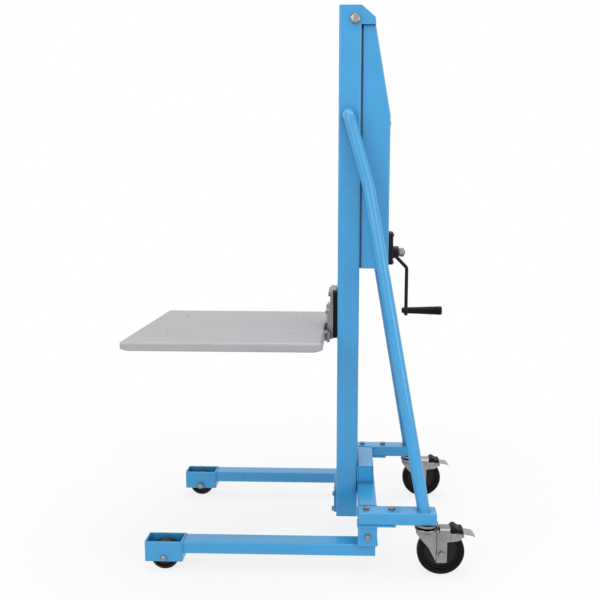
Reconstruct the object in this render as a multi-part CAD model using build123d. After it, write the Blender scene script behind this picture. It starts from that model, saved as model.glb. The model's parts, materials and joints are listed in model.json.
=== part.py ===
"""Hand-cranked mini lift trolley: a platform on a mast, on two legs with rollers
and two braked swivel castors. The platform side points to -X and the crank to +X.
All lengths are millimetres. X is first measured from the back of the mast, and
the finished pieces are moved so that the middle of the whole trolley is X = 0."""
from build123d import *
import math
import os

# Base frame: flat steel tube, and the heights at which it lies
tube_wide = 50.0
tube_high = 33.0
tube_wall = 3.0
tube_corner = 4.0
leg_track = 490.0
leg_bottom_z = 49.0
leg_back_inset = 4.0
leg_reach = 463.0
rail_track = 510.0
rail_bottom_z = 140.0
rail_length = 204.0
post_wide = 50.0
flange_thick = 5.0
flange_length = 98.0

# Front rollers in their open boxes at the ends of the legs
roller_d = 75.0
roller_wide = 32.0
roller_axle_d = 10.0
box_length = 100.0
box_bottom_z = 28.0
box_wall = 4.0
box_proud = 3.0

# Swivel castors at the back
castor_d = 125.0
castor_wide = 32.0
castor_trail = 38.0
swivel_x = 180.0

# Mast: a lipped channel, open towards the platform
mast_depth = 60.0
mast_wide = 150.0
mast_wall = 4.0
mast_lip = 30.0
mast_bottom_z = 70.0
mast_top_z = 1484.0
wing_reach = 38.0
head_high = 49.0

# Winch cover and crank
cover_front_x = 5.0
cover_depth = 75.0
cover_wide = 132.0
cover_wall = 2.0
cover_slope_high = 232.0
cover_below_crank = 41.0
crank_z = 830.0
crank_radius = 167.0

# Carriage and platform
platform_length = 520.0
platform_wide = 525.0
platform_top_z = 617.0
platform_sheet = 3.0
platform_rim = 25.0
platform_gap = 6.0
rope_d = 5.0

# Clearances shared by the pieces that fit together
running_gap = 0.05
free_gap = 0.3
overrun = 10.0

# Places worked out from the sizes above
leg_top_z = leg_bottom_z + tube_high
rail_top_z = rail_bottom_z + tube_high
mast_side_y = mast_wide / 2
web_face_x = -mast_wall
lip_face_x = mast_wall - mast_depth
box_front_x = -leg_reach - box_length
box_wide = tube_wide + 2 * box_proud
roller_x = -leg_reach - box_length / 2
cover_back_x = cover_front_x + cover_depth
wing_bottom_z = mast_top_z - head_high
cover_knee_z = wing_bottom_z - cover_slope_high
cover_bottom_z = crank_z - cover_below_crank


def block(x, y, z):
    """Box between the low and the high value on each axis."""
    size = (x[1] - x[0], y[1] - y[0], z[1] - z[0])
    middle = ((x[0] + x[1]) / 2, (y[0] + y[1]) / 2, (z[0] + z[1]) / 2)
    return Pos(*middle) * Box(*size)


def rod_x(diameter, x, y, z):
    """Round bar along X between two values of x."""
    at = Location((x[0], y, z), (0, 90, 0))
    return at * Cylinder(diameter / 2, x[1] - x[0], align=(Align.CENTER, Align.CENTER, Align.MIN))


def rod_y(diameter, x, y, z):
    """Round bar along Y between two values of y."""
    at = Location((x, y[0], z), (-90, 0, 0))
    return at * Cylinder(diameter / 2, y[1] - y[0], align=(Align.CENTER, Align.CENTER, Align.MIN))


def rod_z(diameter, x, y, z):
    """Round bar along Z between two values of z."""
    base = (Align.CENTER, Align.CENTER, Align.MIN)
    return Pos(x, y, z[0]) * Cylinder(diameter / 2, z[1] - z[0], align=base)


def hexagon(plane, across_flats, height):
    """Six-sided head or nut that grows from a plane along its normal."""
    sketch = RegularPolygon(across_flats / 2, 6, major_radius=False)
    return extrude(plane * sketch, height)


def both_sides(shape):
    """The shape and its mirror image in the middle plane of the trolley."""
    return [shape, mirror(shape, Plane.XZ)]


def plate_xz(points, y):
    """Flat plate with an outline in the XZ plane, between two values of y."""
    outline = Polyline(*[(px, 0, pz) for px, pz in points], close=True)
    face = make_face(outline)
    return Pos(0, y[1], 0) * extrude(face, y[1] - y[0], dir=(0, -1, 0))


def hollow_tube(wide, high, length, wall, corner):
    """Rectangular tube along X from zero, with rounded edges outside and inside."""
    outer = RectangleRounded(wide, high, corner)
    inner = RectangleRounded(wide - 2 * wall, high - 2 * wall, corner - wall + wall / 2)
    section = Plane.YZ * (outer - inner)
    return extrude(section, length)


def bolt(plane, diameter, grip, across_flats, head_high, nut_high):
    """Hex bolt whose head stands on the plane; its shank runs back through the grip."""
    shank_end = grip + nut_high + diameter / 4
    shank = extrude(plane * Circle(diameter / 2), -shank_end)
    head = hexagon(plane, across_flats, head_high)
    back = plane.offset(-grip)
    nut = extrude(back * RegularPolygon(across_flats / 2, 6, major_radius=False), -nut_high)
    return head + shank + nut


# Legs, posts, rails and cross beam
leg_y = leg_track / 2
rail_y = rail_track / 2
leg_length = leg_reach + post_wide - leg_back_inset
post_top_z = rail_bottom_z - flange_thick
rail_bolt_d = 10.0
rail_bolt_flats = 17.0
rail_bolt_head = 6.0
rail_bolt_nut = 5.0
rail_bolt_places = (21.0, 88.0)
post_bolt_z = (leg_top_z + post_top_z) / 2
bolt_hole_d = rail_bolt_d + 2 * free_gap

leg = Pos(-leg_reach, leg_y, leg_bottom_z + tube_high / 2)
leg *= hollow_tube(tube_wide, tube_high, leg_length, tube_wall, tube_corner)
rail = Pos(0, rail_y, rail_bottom_z + tube_high / 2)
rail *= hollow_tube(tube_wide, tube_high, rail_length, tube_wall, tube_corner)
rail_sides = (rail_y - tube_wide / 2, rail_y + tube_wide / 2)
flange = block((0, flange_length), rail_sides, (post_top_z, rail_bottom_z))
post_section = RectangleRounded(post_wide, tube_wide, tube_corner)
post_section -= RectangleRounded(post_wide - 2 * tube_wall, tube_wide - 2 * tube_wall, tube_wall / 2)
post = Pos(post_wide / 2, rail_y, leg_top_z) * extrude(post_section, post_top_z - leg_top_z)
post -= rod_y(bolt_hole_d, post_wide / 2, (0, rail_y + tube_wide), post_bolt_z)

rail_bolts = []
for place in rail_bolt_places:
    drill = rod_z(bolt_hole_d, place, rail_y, (post_top_z - overrun, rail_top_z + overrun))
    rail -= drill
    flange -= drill
    seat = Plane(origin=(place, rail_y, rail_top_z), z_dir=(0, 0, 1))
    grip = rail_top_z - post_top_z
    rail_bolts.append(bolt(seat, rail_bolt_d, grip, rail_bolt_flats, rail_bolt_head, rail_bolt_nut))
post_face = Plane(origin=(post_wide / 2, rail_sides[1], post_bolt_z), x_dir=(1, 0, 0), z_dir=(0, 1, 0))
post_bolt = bolt(post_face, rail_bolt_d, tube_wide, rail_bolt_flats, rail_bolt_head, rail_bolt_nut)

# The beam joins the rails behind the mast, with two long bolts through the mast's web
beam_half = rail_y - tube_wide / 2
mast_bolt_d = 10.0
mast_bolt_flats = 17.0
mast_bolt_head = 6.0
mast_bolt_nut = 8.0
mast_bolt_y = 25.0
mast_bolt_z = rail_bottom_z + tube_high / 2
beam = Pos(0, 0, rail_bottom_z) * Rot(0, 0, 90) * Pos(-beam_half, -post_wide / 2, tube_high / 2)
beam *= hollow_tube(post_wide, tube_high, 2 * beam_half, tube_wall, tube_corner)
socket_deep = 46.0
socket_high = 51.0
socket_half = mast_side_y + 3.0
socket = Pos(0, 0, rail_top_z) * Rot(0, 0, 90) * Pos(-socket_half, -socket_deep / 2, socket_high / 2)
socket *= hollow_tube(socket_deep, socket_high, 2 * socket_half, tube_wall, tube_corner)
beam += socket
mast_bolts = []
mast_drill = []
for side in (-1, 1):
    y = side * mast_bolt_y
    drill = rod_x(mast_bolt_d + 2 * free_gap, (lip_face_x + overrun, post_wide + overrun), y, mast_bolt_z)
    beam -= drill
    mast_drill.append(drill)
    seat = Plane(origin=(web_face_x, y, mast_bolt_z), x_dir=(0, 1, 0), z_dir=(-1, 0, 0))
    grip = post_wide + mast_wall
    mast_bolts.append(bolt(seat, mast_bolt_d, grip, mast_bolt_flats, mast_bolt_head, mast_bolt_nut))

# Plugs close the open ends of the rails and the back ends of the legs
plug_wide = tube_wide - 2 * tube_wall
plug_high = tube_high - 2 * tube_wall
plug_depth = 12.0
plug = Box(plug_depth, plug_wide - 2 * running_gap, plug_high - 2 * running_gap)
plug = fillet(plug.edges().filter_by(Axis.X), tube_corner - tube_wall / 2)
rail_mid_z = rail_bottom_z + tube_high / 2
leg_mid_z = leg_bottom_z + tube_high / 2
plugs = [
    Pos(plug_depth / 2, rail_y, rail_mid_z) * plug,
    Pos(rail_length - plug_depth / 2, rail_y, rail_mid_z) * plug,
    Pos(leg_length - leg_reach - plug_depth / 2, leg_y, leg_mid_z) * plug,
]

# Open box at the front of each leg, with its roller on an axle bolt
box_y = (leg_y - box_wide / 2, leg_y + box_wide / 2)
box_z = (box_bottom_z, leg_top_z)
roller_z = roller_d / 2
roller_round = 4.0
roller_hub_d = 34.0
roller_dish = 5.0
axle_flats = 16.0
axle_head = 6.4
axle_nut = 8.0
wheel_box = block((box_front_x, -leg_reach), box_y, box_z)
wheel_box = fillet(wheel_box.edges().filter_by(Axis.Z), tube_corner)
wheel_box -= block(
    (box_front_x + box_wall, -leg_reach - box_wall),
    (box_y[0] + box_wall, box_y[1] - box_wall),
    (box_bottom_z - overrun, leg_top_z + overrun),
)
wheel_box -= rod_y(roller_axle_d + 2 * running_gap, roller_x, (0, rail_y + tube_wide), roller_z)
box_inside = box_wide - 2 * box_wall
roller_axle_seat = Plane(origin=(roller_x, box_y[1], roller_z), x_dir=(1, 0, 0), z_dir=(0, 1, 0))
roller_axle = bolt(roller_axle_seat, roller_axle_d, box_wide, axle_flats, axle_head, axle_nut)


def roller(diameter, wide, hub_wide, hub_d, dish, bore, edge_round):
    """Solid roller about Y with a dished web, rounded tread edges and a hub on each face."""
    body = Rot(90, 0, 0) * Cylinder(diameter / 2, wide)
    body = fillet(body.edges(), edge_round)
    rim = diameter / 2 - 2 * edge_round
    groove = Cylinder(rim, dish) - Cylinder(hub_d / 2, dish)
    for side in (-1, 1):
        body -= Pos(0, side * (wide - dish) / 2, 0) * Rot(90, 0, 0) * groove
    body += Rot(90, 0, 0) * Cylinder(hub_d / 2, hub_wide)
    return body - Rot(90, 0, 0) * Cylinder(bore / 2, hub_wide + overrun)


front_roller = Pos(roller_x, leg_y, roller_z) * roller(
    roller_d, roller_wide, box_inside - 2 * free_gap, roller_hub_d, roller_dish,
    roller_axle_d + 2 * running_gap, roller_round,
)

# Mast channel with its head wings
mast_corner = 5.0
mast_mid_x = -mast_depth / 2
slot_half = mast_side_y - mast_lip
head_drop = 31.0
head_lean = 1.5
cap_sheet = 3.0
head_inside_y = mast_side_y - mast_wall
pulley_x = -17.0
pulley_drop = 35.0
pulley_side_gap = 2.0
pulley_r = 29.0
pulley_wide = 16.0
pulley_axle_d = 12.0
pulley_slot = pulley_wide / 2 + pulley_side_gap
pulley_z = mast_top_z - pulley_drop
rope_pitch_r = 27.5

section = RectangleRounded(mast_depth, mast_wide, mast_corner)
section -= RectangleRounded(mast_depth - 2 * mast_wall, mast_wide - 2 * mast_wall, mast_corner - mast_wall)
section -= Pos(mast_wall - mast_depth / 2 - overrun, 0) * Rectangle(2 * overrun, 2 * slot_half)
mast = Pos(mast_mid_x, 0, mast_bottom_z) * extrude(section, mast_top_z - mast_bottom_z)
wing_points = (
    (web_face_x, wing_bottom_z),
    (wing_reach, wing_bottom_z),
    (wing_reach - head_lean, mast_top_z - head_drop),
    (0, mast_top_z),
    (web_face_x, mast_top_z),
)
for side in both_sides(plate_xz(wing_points, (head_inside_y, mast_side_y))):
    mast += side
head_sides = (-head_inside_y, head_inside_y)
mast -= block((web_face_x - mast_corner, overrun), head_sides, (mast_top_z - cap_sheet, mast_top_z + overrun))
mast -= block(
    (web_face_x - overrun, overrun),
    (-pulley_slot, pulley_slot),
    (pulley_z - pulley_r - overrun, mast_top_z + overrun),
)
mast -= rod_y(pulley_axle_d + 2 * running_gap, pulley_x, (-mast_wide, mast_wide), pulley_z)
for drill in mast_drill:
    mast -= drill

# Bent cap over the head, between the wings
cap_points = (
    (lip_face_x - overrun, mast_top_z),
    (0, mast_top_z),
    (wing_reach - head_lean, mast_top_z - head_drop),
    (wing_reach, wing_bottom_z),
    (wing_reach, wing_bottom_z - overrun),
    (lip_face_x - overrun, wing_bottom_z - overrun),
)
cap_face = make_face(Polyline(*[(px, pz) for px, pz in cap_points], close=True))
cap_face -= offset(cap_face, -cap_sheet, kind=Kind.INTERSECTION)
cap_plane = Plane(origin=(0, head_inside_y, 0), x_dir=(1, 0, 0), z_dir=(0, -1, 0))
head_cap = extrude(cap_plane * cap_face, 2 * head_inside_y)
head_cap -= block((lip_face_x - 2 * overrun, lip_face_x), (-mast_wide, mast_wide), (0, mast_top_z + overrun))
head_cap -= block((lip_face_x, cover_back_x), (-mast_wide, mast_wide), (0, wing_bottom_z))
mast -= head_cap

# Stop plate across the foot of the mast, where the carriage comes to rest
stop_thick = 7.0
stop_half = 62.0
stop_foot = 4.0
stop_high = 76.0
stop_bolt_d = 8.0
stop_bolt_flats = 13.0
stop_bolt_head = 5.5
stop_bolt_nut = 6.5
stop_bolt_rise = 10.0
stop_z = (mast_bottom_z + stop_foot, mast_bottom_z + stop_foot + stop_high)
stop_x = (-mast_depth - stop_thick, -mast_depth)
stop_plate = block(stop_x, (-stop_half, stop_half), stop_z)
stop_plate = chamfer(stop_plate.edges().filter_by(Axis.X), stop_thick)
stop_bolts = []
for side in (-1, 1):
    y = side * (slot_half + stop_half) / 2
    stop_bolt_z = stop_z[0] + stop_bolt_rise
    drill_x = (stop_x[0] - overrun, lip_face_x + mast_wall)
    drill = rod_x(stop_bolt_d + 2 * free_gap, drill_x, y, stop_bolt_z)
    stop_plate -= drill
    mast -= drill
    seat = Plane(origin=(stop_x[0], y, stop_bolt_z), x_dir=(0, 1, 0), z_dir=(-1, 0, 0))
    grip = stop_thick + mast_wall
    stop_bolts.append(bolt(seat, stop_bolt_d, grip, stop_bolt_flats, stop_bolt_head, stop_bolt_nut))

# Head pulley, its axle bolt and the spacers that centre it
groove_flare = 1.5
spacer_d = 20.0
pulley_axle_flats = 22.0
pulley_axle_head = 8.0
pulley_axle_nut = 9.0
rope_run_gap = rope_d / 2 + free_gap
pulley = Rot(90, 0, 0) * Cylinder(pulley_r, pulley_wide)
groove_wide = 2 * (rope_run_gap + groove_flare)
groove_ring = Cylinder(pulley_r + overrun, groove_wide) - Cylinder(rope_pitch_r, groove_wide)
groove_ring += Torus(rope_pitch_r, rope_run_gap)
pulley -= Rot(90, 0, 0) * groove_ring
pulley -= Rot(90, 0, 0) * Cylinder(pulley_axle_d / 2 + running_gap, pulley_wide + overrun)
pulley = Pos(pulley_x, 0, pulley_z) * pulley
axle_plane = Plane(origin=(pulley_x, -mast_side_y, pulley_z), x_dir=(1, 0, 0), z_dir=(0, -1, 0))
pulley_axle = bolt(axle_plane, pulley_axle_d, mast_wide, pulley_axle_flats, pulley_axle_head, pulley_axle_nut)
spacer_y = (pulley_wide / 2 + free_gap, head_inside_y)
spacer = rod_y(spacer_d, pulley_x, spacer_y, pulley_z)
spacer -= rod_y(pulley_axle_d + 2 * running_gap, pulley_x, spacer_y, pulley_z)

# Push handle: one tube each side, from the rail up to the side of the mast
handle_d = 33.0
handle_wall = 2.5
handle_foot_x = 172.0
handle_knee_x = 22.0
handle_knee_y = 112.0
handle_knee_drop = 191.0
handle_top_x = -33.0
handle_top_z = cover_knee_z
handle_stand = 25.0
handle_knee_r = 400.0
handle_elbow_r = 22.0
foot = Vector(handle_foot_x, rail_y, rail_top_z)
knee = Vector(handle_knee_x, handle_knee_y, handle_top_z - handle_knee_drop)
toe = foot + (foot - knee).normalized() * handle_d
shoulder = Vector(handle_top_x, mast_side_y + handle_stand, handle_top_z)
handle_end = Vector(handle_top_x, mast_side_y - overrun, handle_top_z)
handle_path = FilletPolyline(toe, knee, shoulder, handle_end, radius=[handle_knee_r, handle_elbow_r])
handle_plane = Plane(origin=toe, z_dir=handle_path % 0)
handle_section = Circle(handle_d / 2) - Circle(handle_d / 2 - handle_wall)
handle = sweep(handle_plane * handle_section, path=handle_path)
handle -= block((0, rail_length + handle_d), (0, rail_y + tube_wide), (0, rail_top_z))
handle_end_z = (handle_top_z - handle_d, handle_top_z + handle_d)
handle -= block((-mast_depth - overrun, overrun), (0, mast_side_y), handle_end_z)
handle = handle.solids().sort_by(SortBy.VOLUME)[-1]

# Winch: a ring-shaped frame on the back of the mast carries drum and crank shaft
gear_module = 1.5
pinion_teeth = 12
gear_teeth = 28
gear_wide = 8.0
gear_backlash = 0.16
pressure_angle = 25.0
flank_steps = 4
frame_back_x = 76.0
frame_half = 51.0
frame_wall = 4.0
frame_below = 28.0
frame_above = 65.0
frame_z = (crank_z - frame_below, crank_z + frame_above)
drum_core_d = 44.0
drum_flange_d = 72.0
drum_flange_thick = 3.0
drum_side_gap = 10.0
drum_x = (frame_wall + drum_side_gap, frame_back_x - drum_side_gap)
drum_shaft_d = 14.0
shaft_stop = 0.5
crank_shaft_d = 12.0
case_depth = 18.0
case_back_x = frame_back_x + case_depth
case_half = 44.0
case_below = 33.0
case_above = 59.0
case_z = (crank_z - case_below, crank_z + case_above)
case_wall = 3.0
case_corner = 12.0
case_screw_d = 5.0
case_screw_head_d = 9.0
case_screw_head = 3.0
case_screw_inset = 8.0
gear_x = (frame_back_x + frame_wall, frame_back_x + frame_wall + gear_wide)
shaft_tail = 2.0
dedendum_share = 1.25
drum_z = crank_z + gear_module * (pinion_teeth + gear_teeth) / 2
shaft_hole = 2 * running_gap


def gear_outline(teeth):
    """Involute outline of a spur gear, with the middle of one tooth on the local X axis."""
    pitch_r = gear_module * teeth / 2
    base_r = pitch_r * math.cos(math.radians(pressure_angle))
    tip_r = pitch_r + gear_module
    root_r = pitch_r - dedendum_share * gear_module
    low_r = max(base_r, root_r)

    def roll(radius):
        angle = math.acos(min(1, base_r / radius))
        return math.tan(angle) - angle

    half_tooth = math.pi / (2 * teeth) - gear_backlash / (2 * pitch_r) + roll(pitch_r)
    flank = [low_r + (tip_r - low_r) * step / flank_steps for step in range(flank_steps + 1)]
    points = []
    for tooth in range(teeth):
        middle = 2 * math.pi * tooth / teeth
        side = [(radius, half_tooth - roll(radius)) for radius in flank]
        foot = [(root_r, side[0][1])] if root_r < low_r else []
        rise = [(radius, -angle) for radius, angle in foot + side]
        fall = [(radius, angle) for radius, angle in reversed(foot + side)]
        for radius, angle in rise + fall:
            points.append((radius * math.cos(middle + angle), radius * math.sin(middle + angle)))
    return make_face(Polyline(*points, close=True))


def gear_along_x(teeth, turn, x, z, bore):
    """Spur gear about X between two values of x; its first tooth is turned from +Y."""
    face = gear_outline(teeth) - Circle(bore / 2)
    plane = Plane(origin=(x[0], 0, z), x_dir=(0, 1, 0), z_dir=(1, 0, 0))
    return extrude(plane * Rot(0, 0, turn) * face, x[1] - x[0])


winch_frame = block((0, frame_back_x), (-frame_half, frame_half), frame_z)
winch_frame -= block(
    (frame_wall, frame_back_x - frame_wall),
    (frame_wall - frame_half, frame_half - frame_wall),
    (frame_z[0] - overrun, frame_z[1] + overrun),
)
winch_frame -= rod_x(drum_shaft_d + shaft_hole, (-overrun, frame_back_x + overrun), 0, drum_z)
winch_frame -= rod_x(crank_shaft_d + shaft_hole, (frame_back_x / 2, frame_back_x + overrun), 0, crank_z)

gear_case = block((frame_back_x, case_back_x), (-case_half, case_half), case_z)
gear_case = fillet(gear_case.edges().filter_by(Axis.X), case_corner)
gear_case = fillet(gear_case.faces().sort_by(Axis.X)[-1].edges(), case_wall / 2)
case_inner = block(
    (frame_back_x - overrun, case_back_x - case_wall),
    (case_wall - case_half, case_half - case_wall),
    (case_z[0] + case_wall, case_z[1] - case_wall),
)
case_inner = fillet(case_inner.edges().filter_by(Axis.X), case_corner - case_wall)
screw_posts = []
screw_drills = []
case_screws = []
screw_post_d = 2 * case_screw_inset
for y in (case_screw_inset - case_half, case_half - case_screw_inset):
    for z in (case_z[0] + case_screw_inset, case_z[1] - case_screw_inset):
        screw_posts.append(rod_x(screw_post_d, (frame_back_x, case_back_x - case_wall), y, z))
        drill_x = (frame_back_x - 2 * frame_wall, case_back_x + overrun)
        screw_drills.append(rod_x(case_screw_d + 2 * free_gap, drill_x, y, z))
        shank = rod_x(case_screw_d, (frame_back_x - frame_wall - case_wall, case_back_x), y, z)
        head = rod_x(case_screw_head_d, (case_back_x, case_back_x + case_screw_head), y, z)
        case_screws.append(shank + head)
for screw_post in screw_posts:
    case_inner -= screw_post
gear_case -= case_inner
gear_case -= rod_x(crank_shaft_d + shaft_hole, (frame_back_x, case_back_x + overrun), 0, crank_z)
for drill in screw_drills:
    gear_case -= drill
    winch_frame -= drill

drum_gap = 2 * running_gap
drum_gear = gear_along_x(gear_teeth, -90 + 180 / gear_teeth, gear_x, drum_z, drum_shaft_d + drum_gap)
drum_shaft = rod_x(drum_shaft_d, (shaft_stop, gear_x[1] + shaft_tail), 0, drum_z)
rope_drum = rod_x(drum_core_d, drum_x, 0, drum_z)
rope_drum += rod_x(drum_flange_d, (drum_x[0], drum_x[0] + drum_flange_thick), 0, drum_z)
rope_drum += rod_x(drum_flange_d, (drum_x[1] - drum_flange_thick, drum_x[1]), 0, drum_z)
rope_drum -= rod_x(drum_shaft_d + drum_gap, (0, frame_back_x), 0, drum_z)

# Turns of wire rope that lie on the drum
coil_pitch = rope_d + running_gap
coil_room = drum_x[1] - drum_x[0] - 2 * drum_flange_thick
coil_count = int((coil_room - rope_d) / coil_pitch)
coil_r = drum_core_d / 2 + running_gap + rope_d / 2
coil_start = drum_x[0] + drum_flange_thick + rope_d
coil_z = drum_z
rope_coils = rod_x(2 * coil_r, (coil_start, coil_start + (coil_count - 1) * coil_pitch), 0, coil_z)
for turn in range(coil_count):
    coil_place = Pos(coil_start + turn * coil_pitch, 0, coil_z) * Rot(0, 90, 0)
    rope_coils += coil_place * Torus(coil_r, rope_d / 2)
rope_coils -= rod_x(2 * coil_r - rope_d, (0, frame_back_x), 0, coil_z)

# Crank: pinion shaft, cranked arm with its hub and eye, nut, and a turning grip
hub_d = 35.0
hub_long = 18.0
hub_x = (case_back_x + free_gap, case_back_x + hub_long)
arm_d = 10.0
arm_x = 136.0
arm_root_x = 105.0
arm_bend_drop = 44.0
arm_bend_r = 12.0
eye_d = 18.5
eye_half = 6.5
nub = 5.0
crank_nut_flats = 22.0
crank_nut_high = 14.0
crank_washer_d = 24.0
crank_washer = 2.0
crank_tip = 2.0
spindle_d = 10.0
spindle_head_d = 16.0
spindle_head = 6.0
grip_length = 96.0
grip_thin_d = 18.5
grip_thick_d = 25.5
grip_end_round = 4.0
grip_rib = 1.0
grip_ribs = 4
grip_rib_pitch = 4.0
grip_rib_deep = 3.0
grip_z = crank_z - crank_radius

crank_end_x = hub_x[1] + crank_washer + crank_nut_high + crank_tip
crank_shaft = rod_x(crank_shaft_d, (frame_back_x - 2 * frame_wall, crank_end_x), 0, crank_z)
pinion_x = (gear_x[0] - free_gap, gear_x[1] + free_gap)
crank_shaft += gear_along_x(pinion_teeth, 90, pinion_x, crank_z, crank_shaft_d / 2)
arm_points = (
    (arm_root_x, 0, crank_z - hub_d / 2 + arm_d / 2),
    (arm_x, 0, crank_z - arm_bend_drop),
    (arm_x, 0, grip_z - eye_d / 2 - nub),
)
arm_path = FilletPolyline(*arm_points, radius=arm_bend_r)
arm = sweep(Plane(origin=arm_path @ 0, z_dir=arm_path % 0) * Circle(arm_d / 2), path=arm_path)
hub = rod_x(hub_d, hub_x, 0, crank_z)
hub = chamfer(hub.edges(), crank_tip / 2)
eye_x = (arm_x - eye_half, arm_x + eye_half)
crank_arm = hub + arm + rod_x(eye_d, eye_x, 0, grip_z)
crank_arm -= rod_x(crank_shaft_d + drum_gap, (hub_x[0] - overrun, hub_x[1] + overrun), 0, crank_z)
crank_arm -= rod_x(spindle_d + drum_gap, (eye_x[0] - overrun, eye_x[1] + overrun), 0, grip_z)
crank_arm -= block((0, hub_x[0]), (-hub_d, hub_d), (crank_z - hub_d, crank_z + hub_d))
nut_plane = Plane(origin=(hub_x[1] + crank_washer, 0, crank_z), x_dir=(0, 1, 0), z_dir=(1, 0, 0))
crank_nut = rod_x(crank_washer_d, (hub_x[1], hub_x[1] + crank_washer), 0, crank_z)
crank_nut += hexagon(nut_plane, crank_nut_flats, crank_nut_high)
crank_nut -= rod_x(crank_shaft_d + drum_gap, (hub_x[1] - overrun, crank_end_x + overrun), 0, crank_z)
grip_x = (eye_x[1] + free_gap, eye_x[1] + free_gap + grip_length)
spindle = rod_x(spindle_d, (eye_x[0], grip_x[1] - spindle_head), 0, grip_z)
spindle_cap = rod_x(spindle_head_d, (eye_x[0] - spindle_head, eye_x[0]), 0, grip_z)
spindle += fillet(spindle_cap.edges().sort_by(Axis.X)[0], spindle_head / 2)
grip_outline = (
    (0, 0),
    (0, grip_thin_d / 2),
    (grip_length, grip_thick_d / 2),
    (grip_length, 0),
)
grip_face = make_face(Plane.XZ * Polyline(*grip_outline, close=True))
grip = revolve(grip_face, Axis.X)
grip = fillet(grip.edges().sort_by(Axis.X)[-1], grip_end_round)
for rib in range(grip_ribs):
    place = grip_length - grip_end_round - (rib + 1) * grip_rib_pitch
    rib_x = (place, place + grip_rib)
    grip -= rod_x(2 * grip_thick_d, rib_x, 0, 0) - rod_x(grip_thick_d - grip_rib_deep, rib_x, 0, 0)
grip -= rod_x(spindle_d + drum_gap, (-overrun, grip_length - spindle_head + free_gap), 0, 0)
grip = Pos(grip_x[0], 0, grip_z) * grip

# Sheet cover over the winch and the rope, with folded front edges
cover_half = cover_wide / 2
cover_fold = 14.0
cover_corner = 4.0
cover_points = (
    (cover_front_x - overrun, cover_bottom_z - overrun),
    (cover_back_x, cover_bottom_z - overrun),
    (cover_back_x, cover_knee_z),
    (wing_reach, wing_bottom_z),
    (cover_front_x - overrun, wing_bottom_z),
)
cover_face = make_face(Polyline(*cover_points, close=True))
cover_inner = offset(cover_face, -cover_wall, kind=Kind.INTERSECTION)
cover_side = Plane(origin=(0, cover_half, 0), x_dir=(1, 0, 0), z_dir=(0, -1, 0))
cover_outer = extrude(cover_side * cover_face, cover_wide)
rear_edges = [edge for edge in cover_outer.edges() if edge.center().X > wing_reach]
rear_edges = [edge for edge in rear_edges if edge.bounding_box().size.Z > cover_depth]
cover_outer = fillet(rear_edges, cover_corner)
inner_plane = Plane(origin=(0, cover_half - cover_wall, 0), x_dir=(1, 0, 0), z_dir=(0, -1, 0))
cover = cover_outer - extrude(inner_plane * cover_inner, cover_wide - 2 * cover_wall)
keep = block((cover_front_x, cover_back_x + overrun), (-cover_wide, cover_wide), (cover_bottom_z, mast_top_z))
cover = cover & keep
for side in (-1, 1):
    edge_y = sorted((side * (cover_half - cover_fold), side * (cover_half - cover_wall / 2)))
    fold_z = (cover_bottom_z, wing_bottom_z - cover_wall / 2)
    cover += block((cover_front_x, cover_front_x + cover_wall), edge_y, fold_z)
    land_y = sorted((side * (cover_half - cover_fold), side * (cover_half - cover_fold + cover_wall)))
    cover += block((0, cover_front_x + cover_wall), land_y, fold_z)
slot_back = pulley_x + rope_pitch_r + rope_d + running_gap
slot_z = (wing_bottom_z - overrun, wing_bottom_z + overrun)
cover -= block((0, slot_back + rope_d), (-pulley_slot, pulley_slot), slot_z)
cover -= block(
    (cover_back_x - overrun, cover_back_x + overrun),
    (-case_half - free_gap, case_half + free_gap),
    (case_z[0] - free_gap, case_z[1] + free_gap),
)

# Straps behind the mast hold the top of the cover, one screw in each
strap_thick = 3.0
strap_wide = 21.0
strap_drop = 31.0
strap_z = cover_knee_z - strap_drop
strap_high = 22.0
strap_back_x = cover_back_x - cover_wall
strap_screw_d = 5.0
strap_screw_head_d = 10.0
strap_screw_head = 3.0
strap_y = (cover_half - cover_fold - free_gap - strap_wide, cover_half - cover_fold - free_gap)
strap_screw_y = (strap_y[0] + strap_y[1]) / 2
strap_screw_z = strap_z + strap_high / 2
strap = block((0, strap_back_x), strap_y, (strap_z, strap_z + strap_thick))
strap += block((0, strap_thick), strap_y, (strap_z, strap_z + strap_high))
strap += block((strap_back_x - strap_thick, strap_back_x), strap_y, (strap_z, strap_z + strap_high))
strap_drill_x = (strap_back_x - overrun, cover_back_x + overrun)
strap_drill = rod_x(strap_screw_d + 2 * free_gap, strap_drill_x, strap_screw_y, strap_screw_z)
strap -= strap_drill
cover -= strap_drill
cover -= mirror(strap_drill, Plane.XZ)
strap_screw = rod_x(strap_screw_d, (strap_back_x - overrun, cover_back_x), strap_screw_y, strap_screw_z)
cap_x = (cover_back_x, cover_back_x + strap_screw_head)
screw_cap = rod_x(strap_screw_head_d, cap_x, strap_screw_y, strap_screw_z)
strap_screw += fillet(screw_cap.edges().sort_by(Axis.X)[-1], strap_screw_head / 2)

# Wire rope: up from the drum, over the head pulley; the front run reaches the carriage
lift_off_x = coil_start + rope_d
lift_off_y = coil_r + rope_d + free_gap
rope_bottom = Vector(lift_off_x, lift_off_y, drum_z)
rope_top = Vector(pulley_x + rope_pitch_r, 0, pulley_z)
rope_rise = rope_top - rope_bottom
rope_back = Plane(origin=rope_bottom, z_dir=rope_rise) * Cylinder(
    rope_d / 2, rope_rise.length, align=(Align.CENTER, Align.CENTER, Align.MIN)
)
bow = Location((pulley_x, 0, pulley_z), (90, 0, 0)) * Torus(rope_pitch_r, rope_d / 2)
bow -= block((-mast_depth, wing_reach), (-pulley_wide, pulley_wide), (pulley_z - 2 * pulley_r, pulley_z))
rope_back += Pos(rope_top.X, rope_top.Y, rope_top.Z) * Sphere(rope_d / 2)
rope_back += bow

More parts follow.
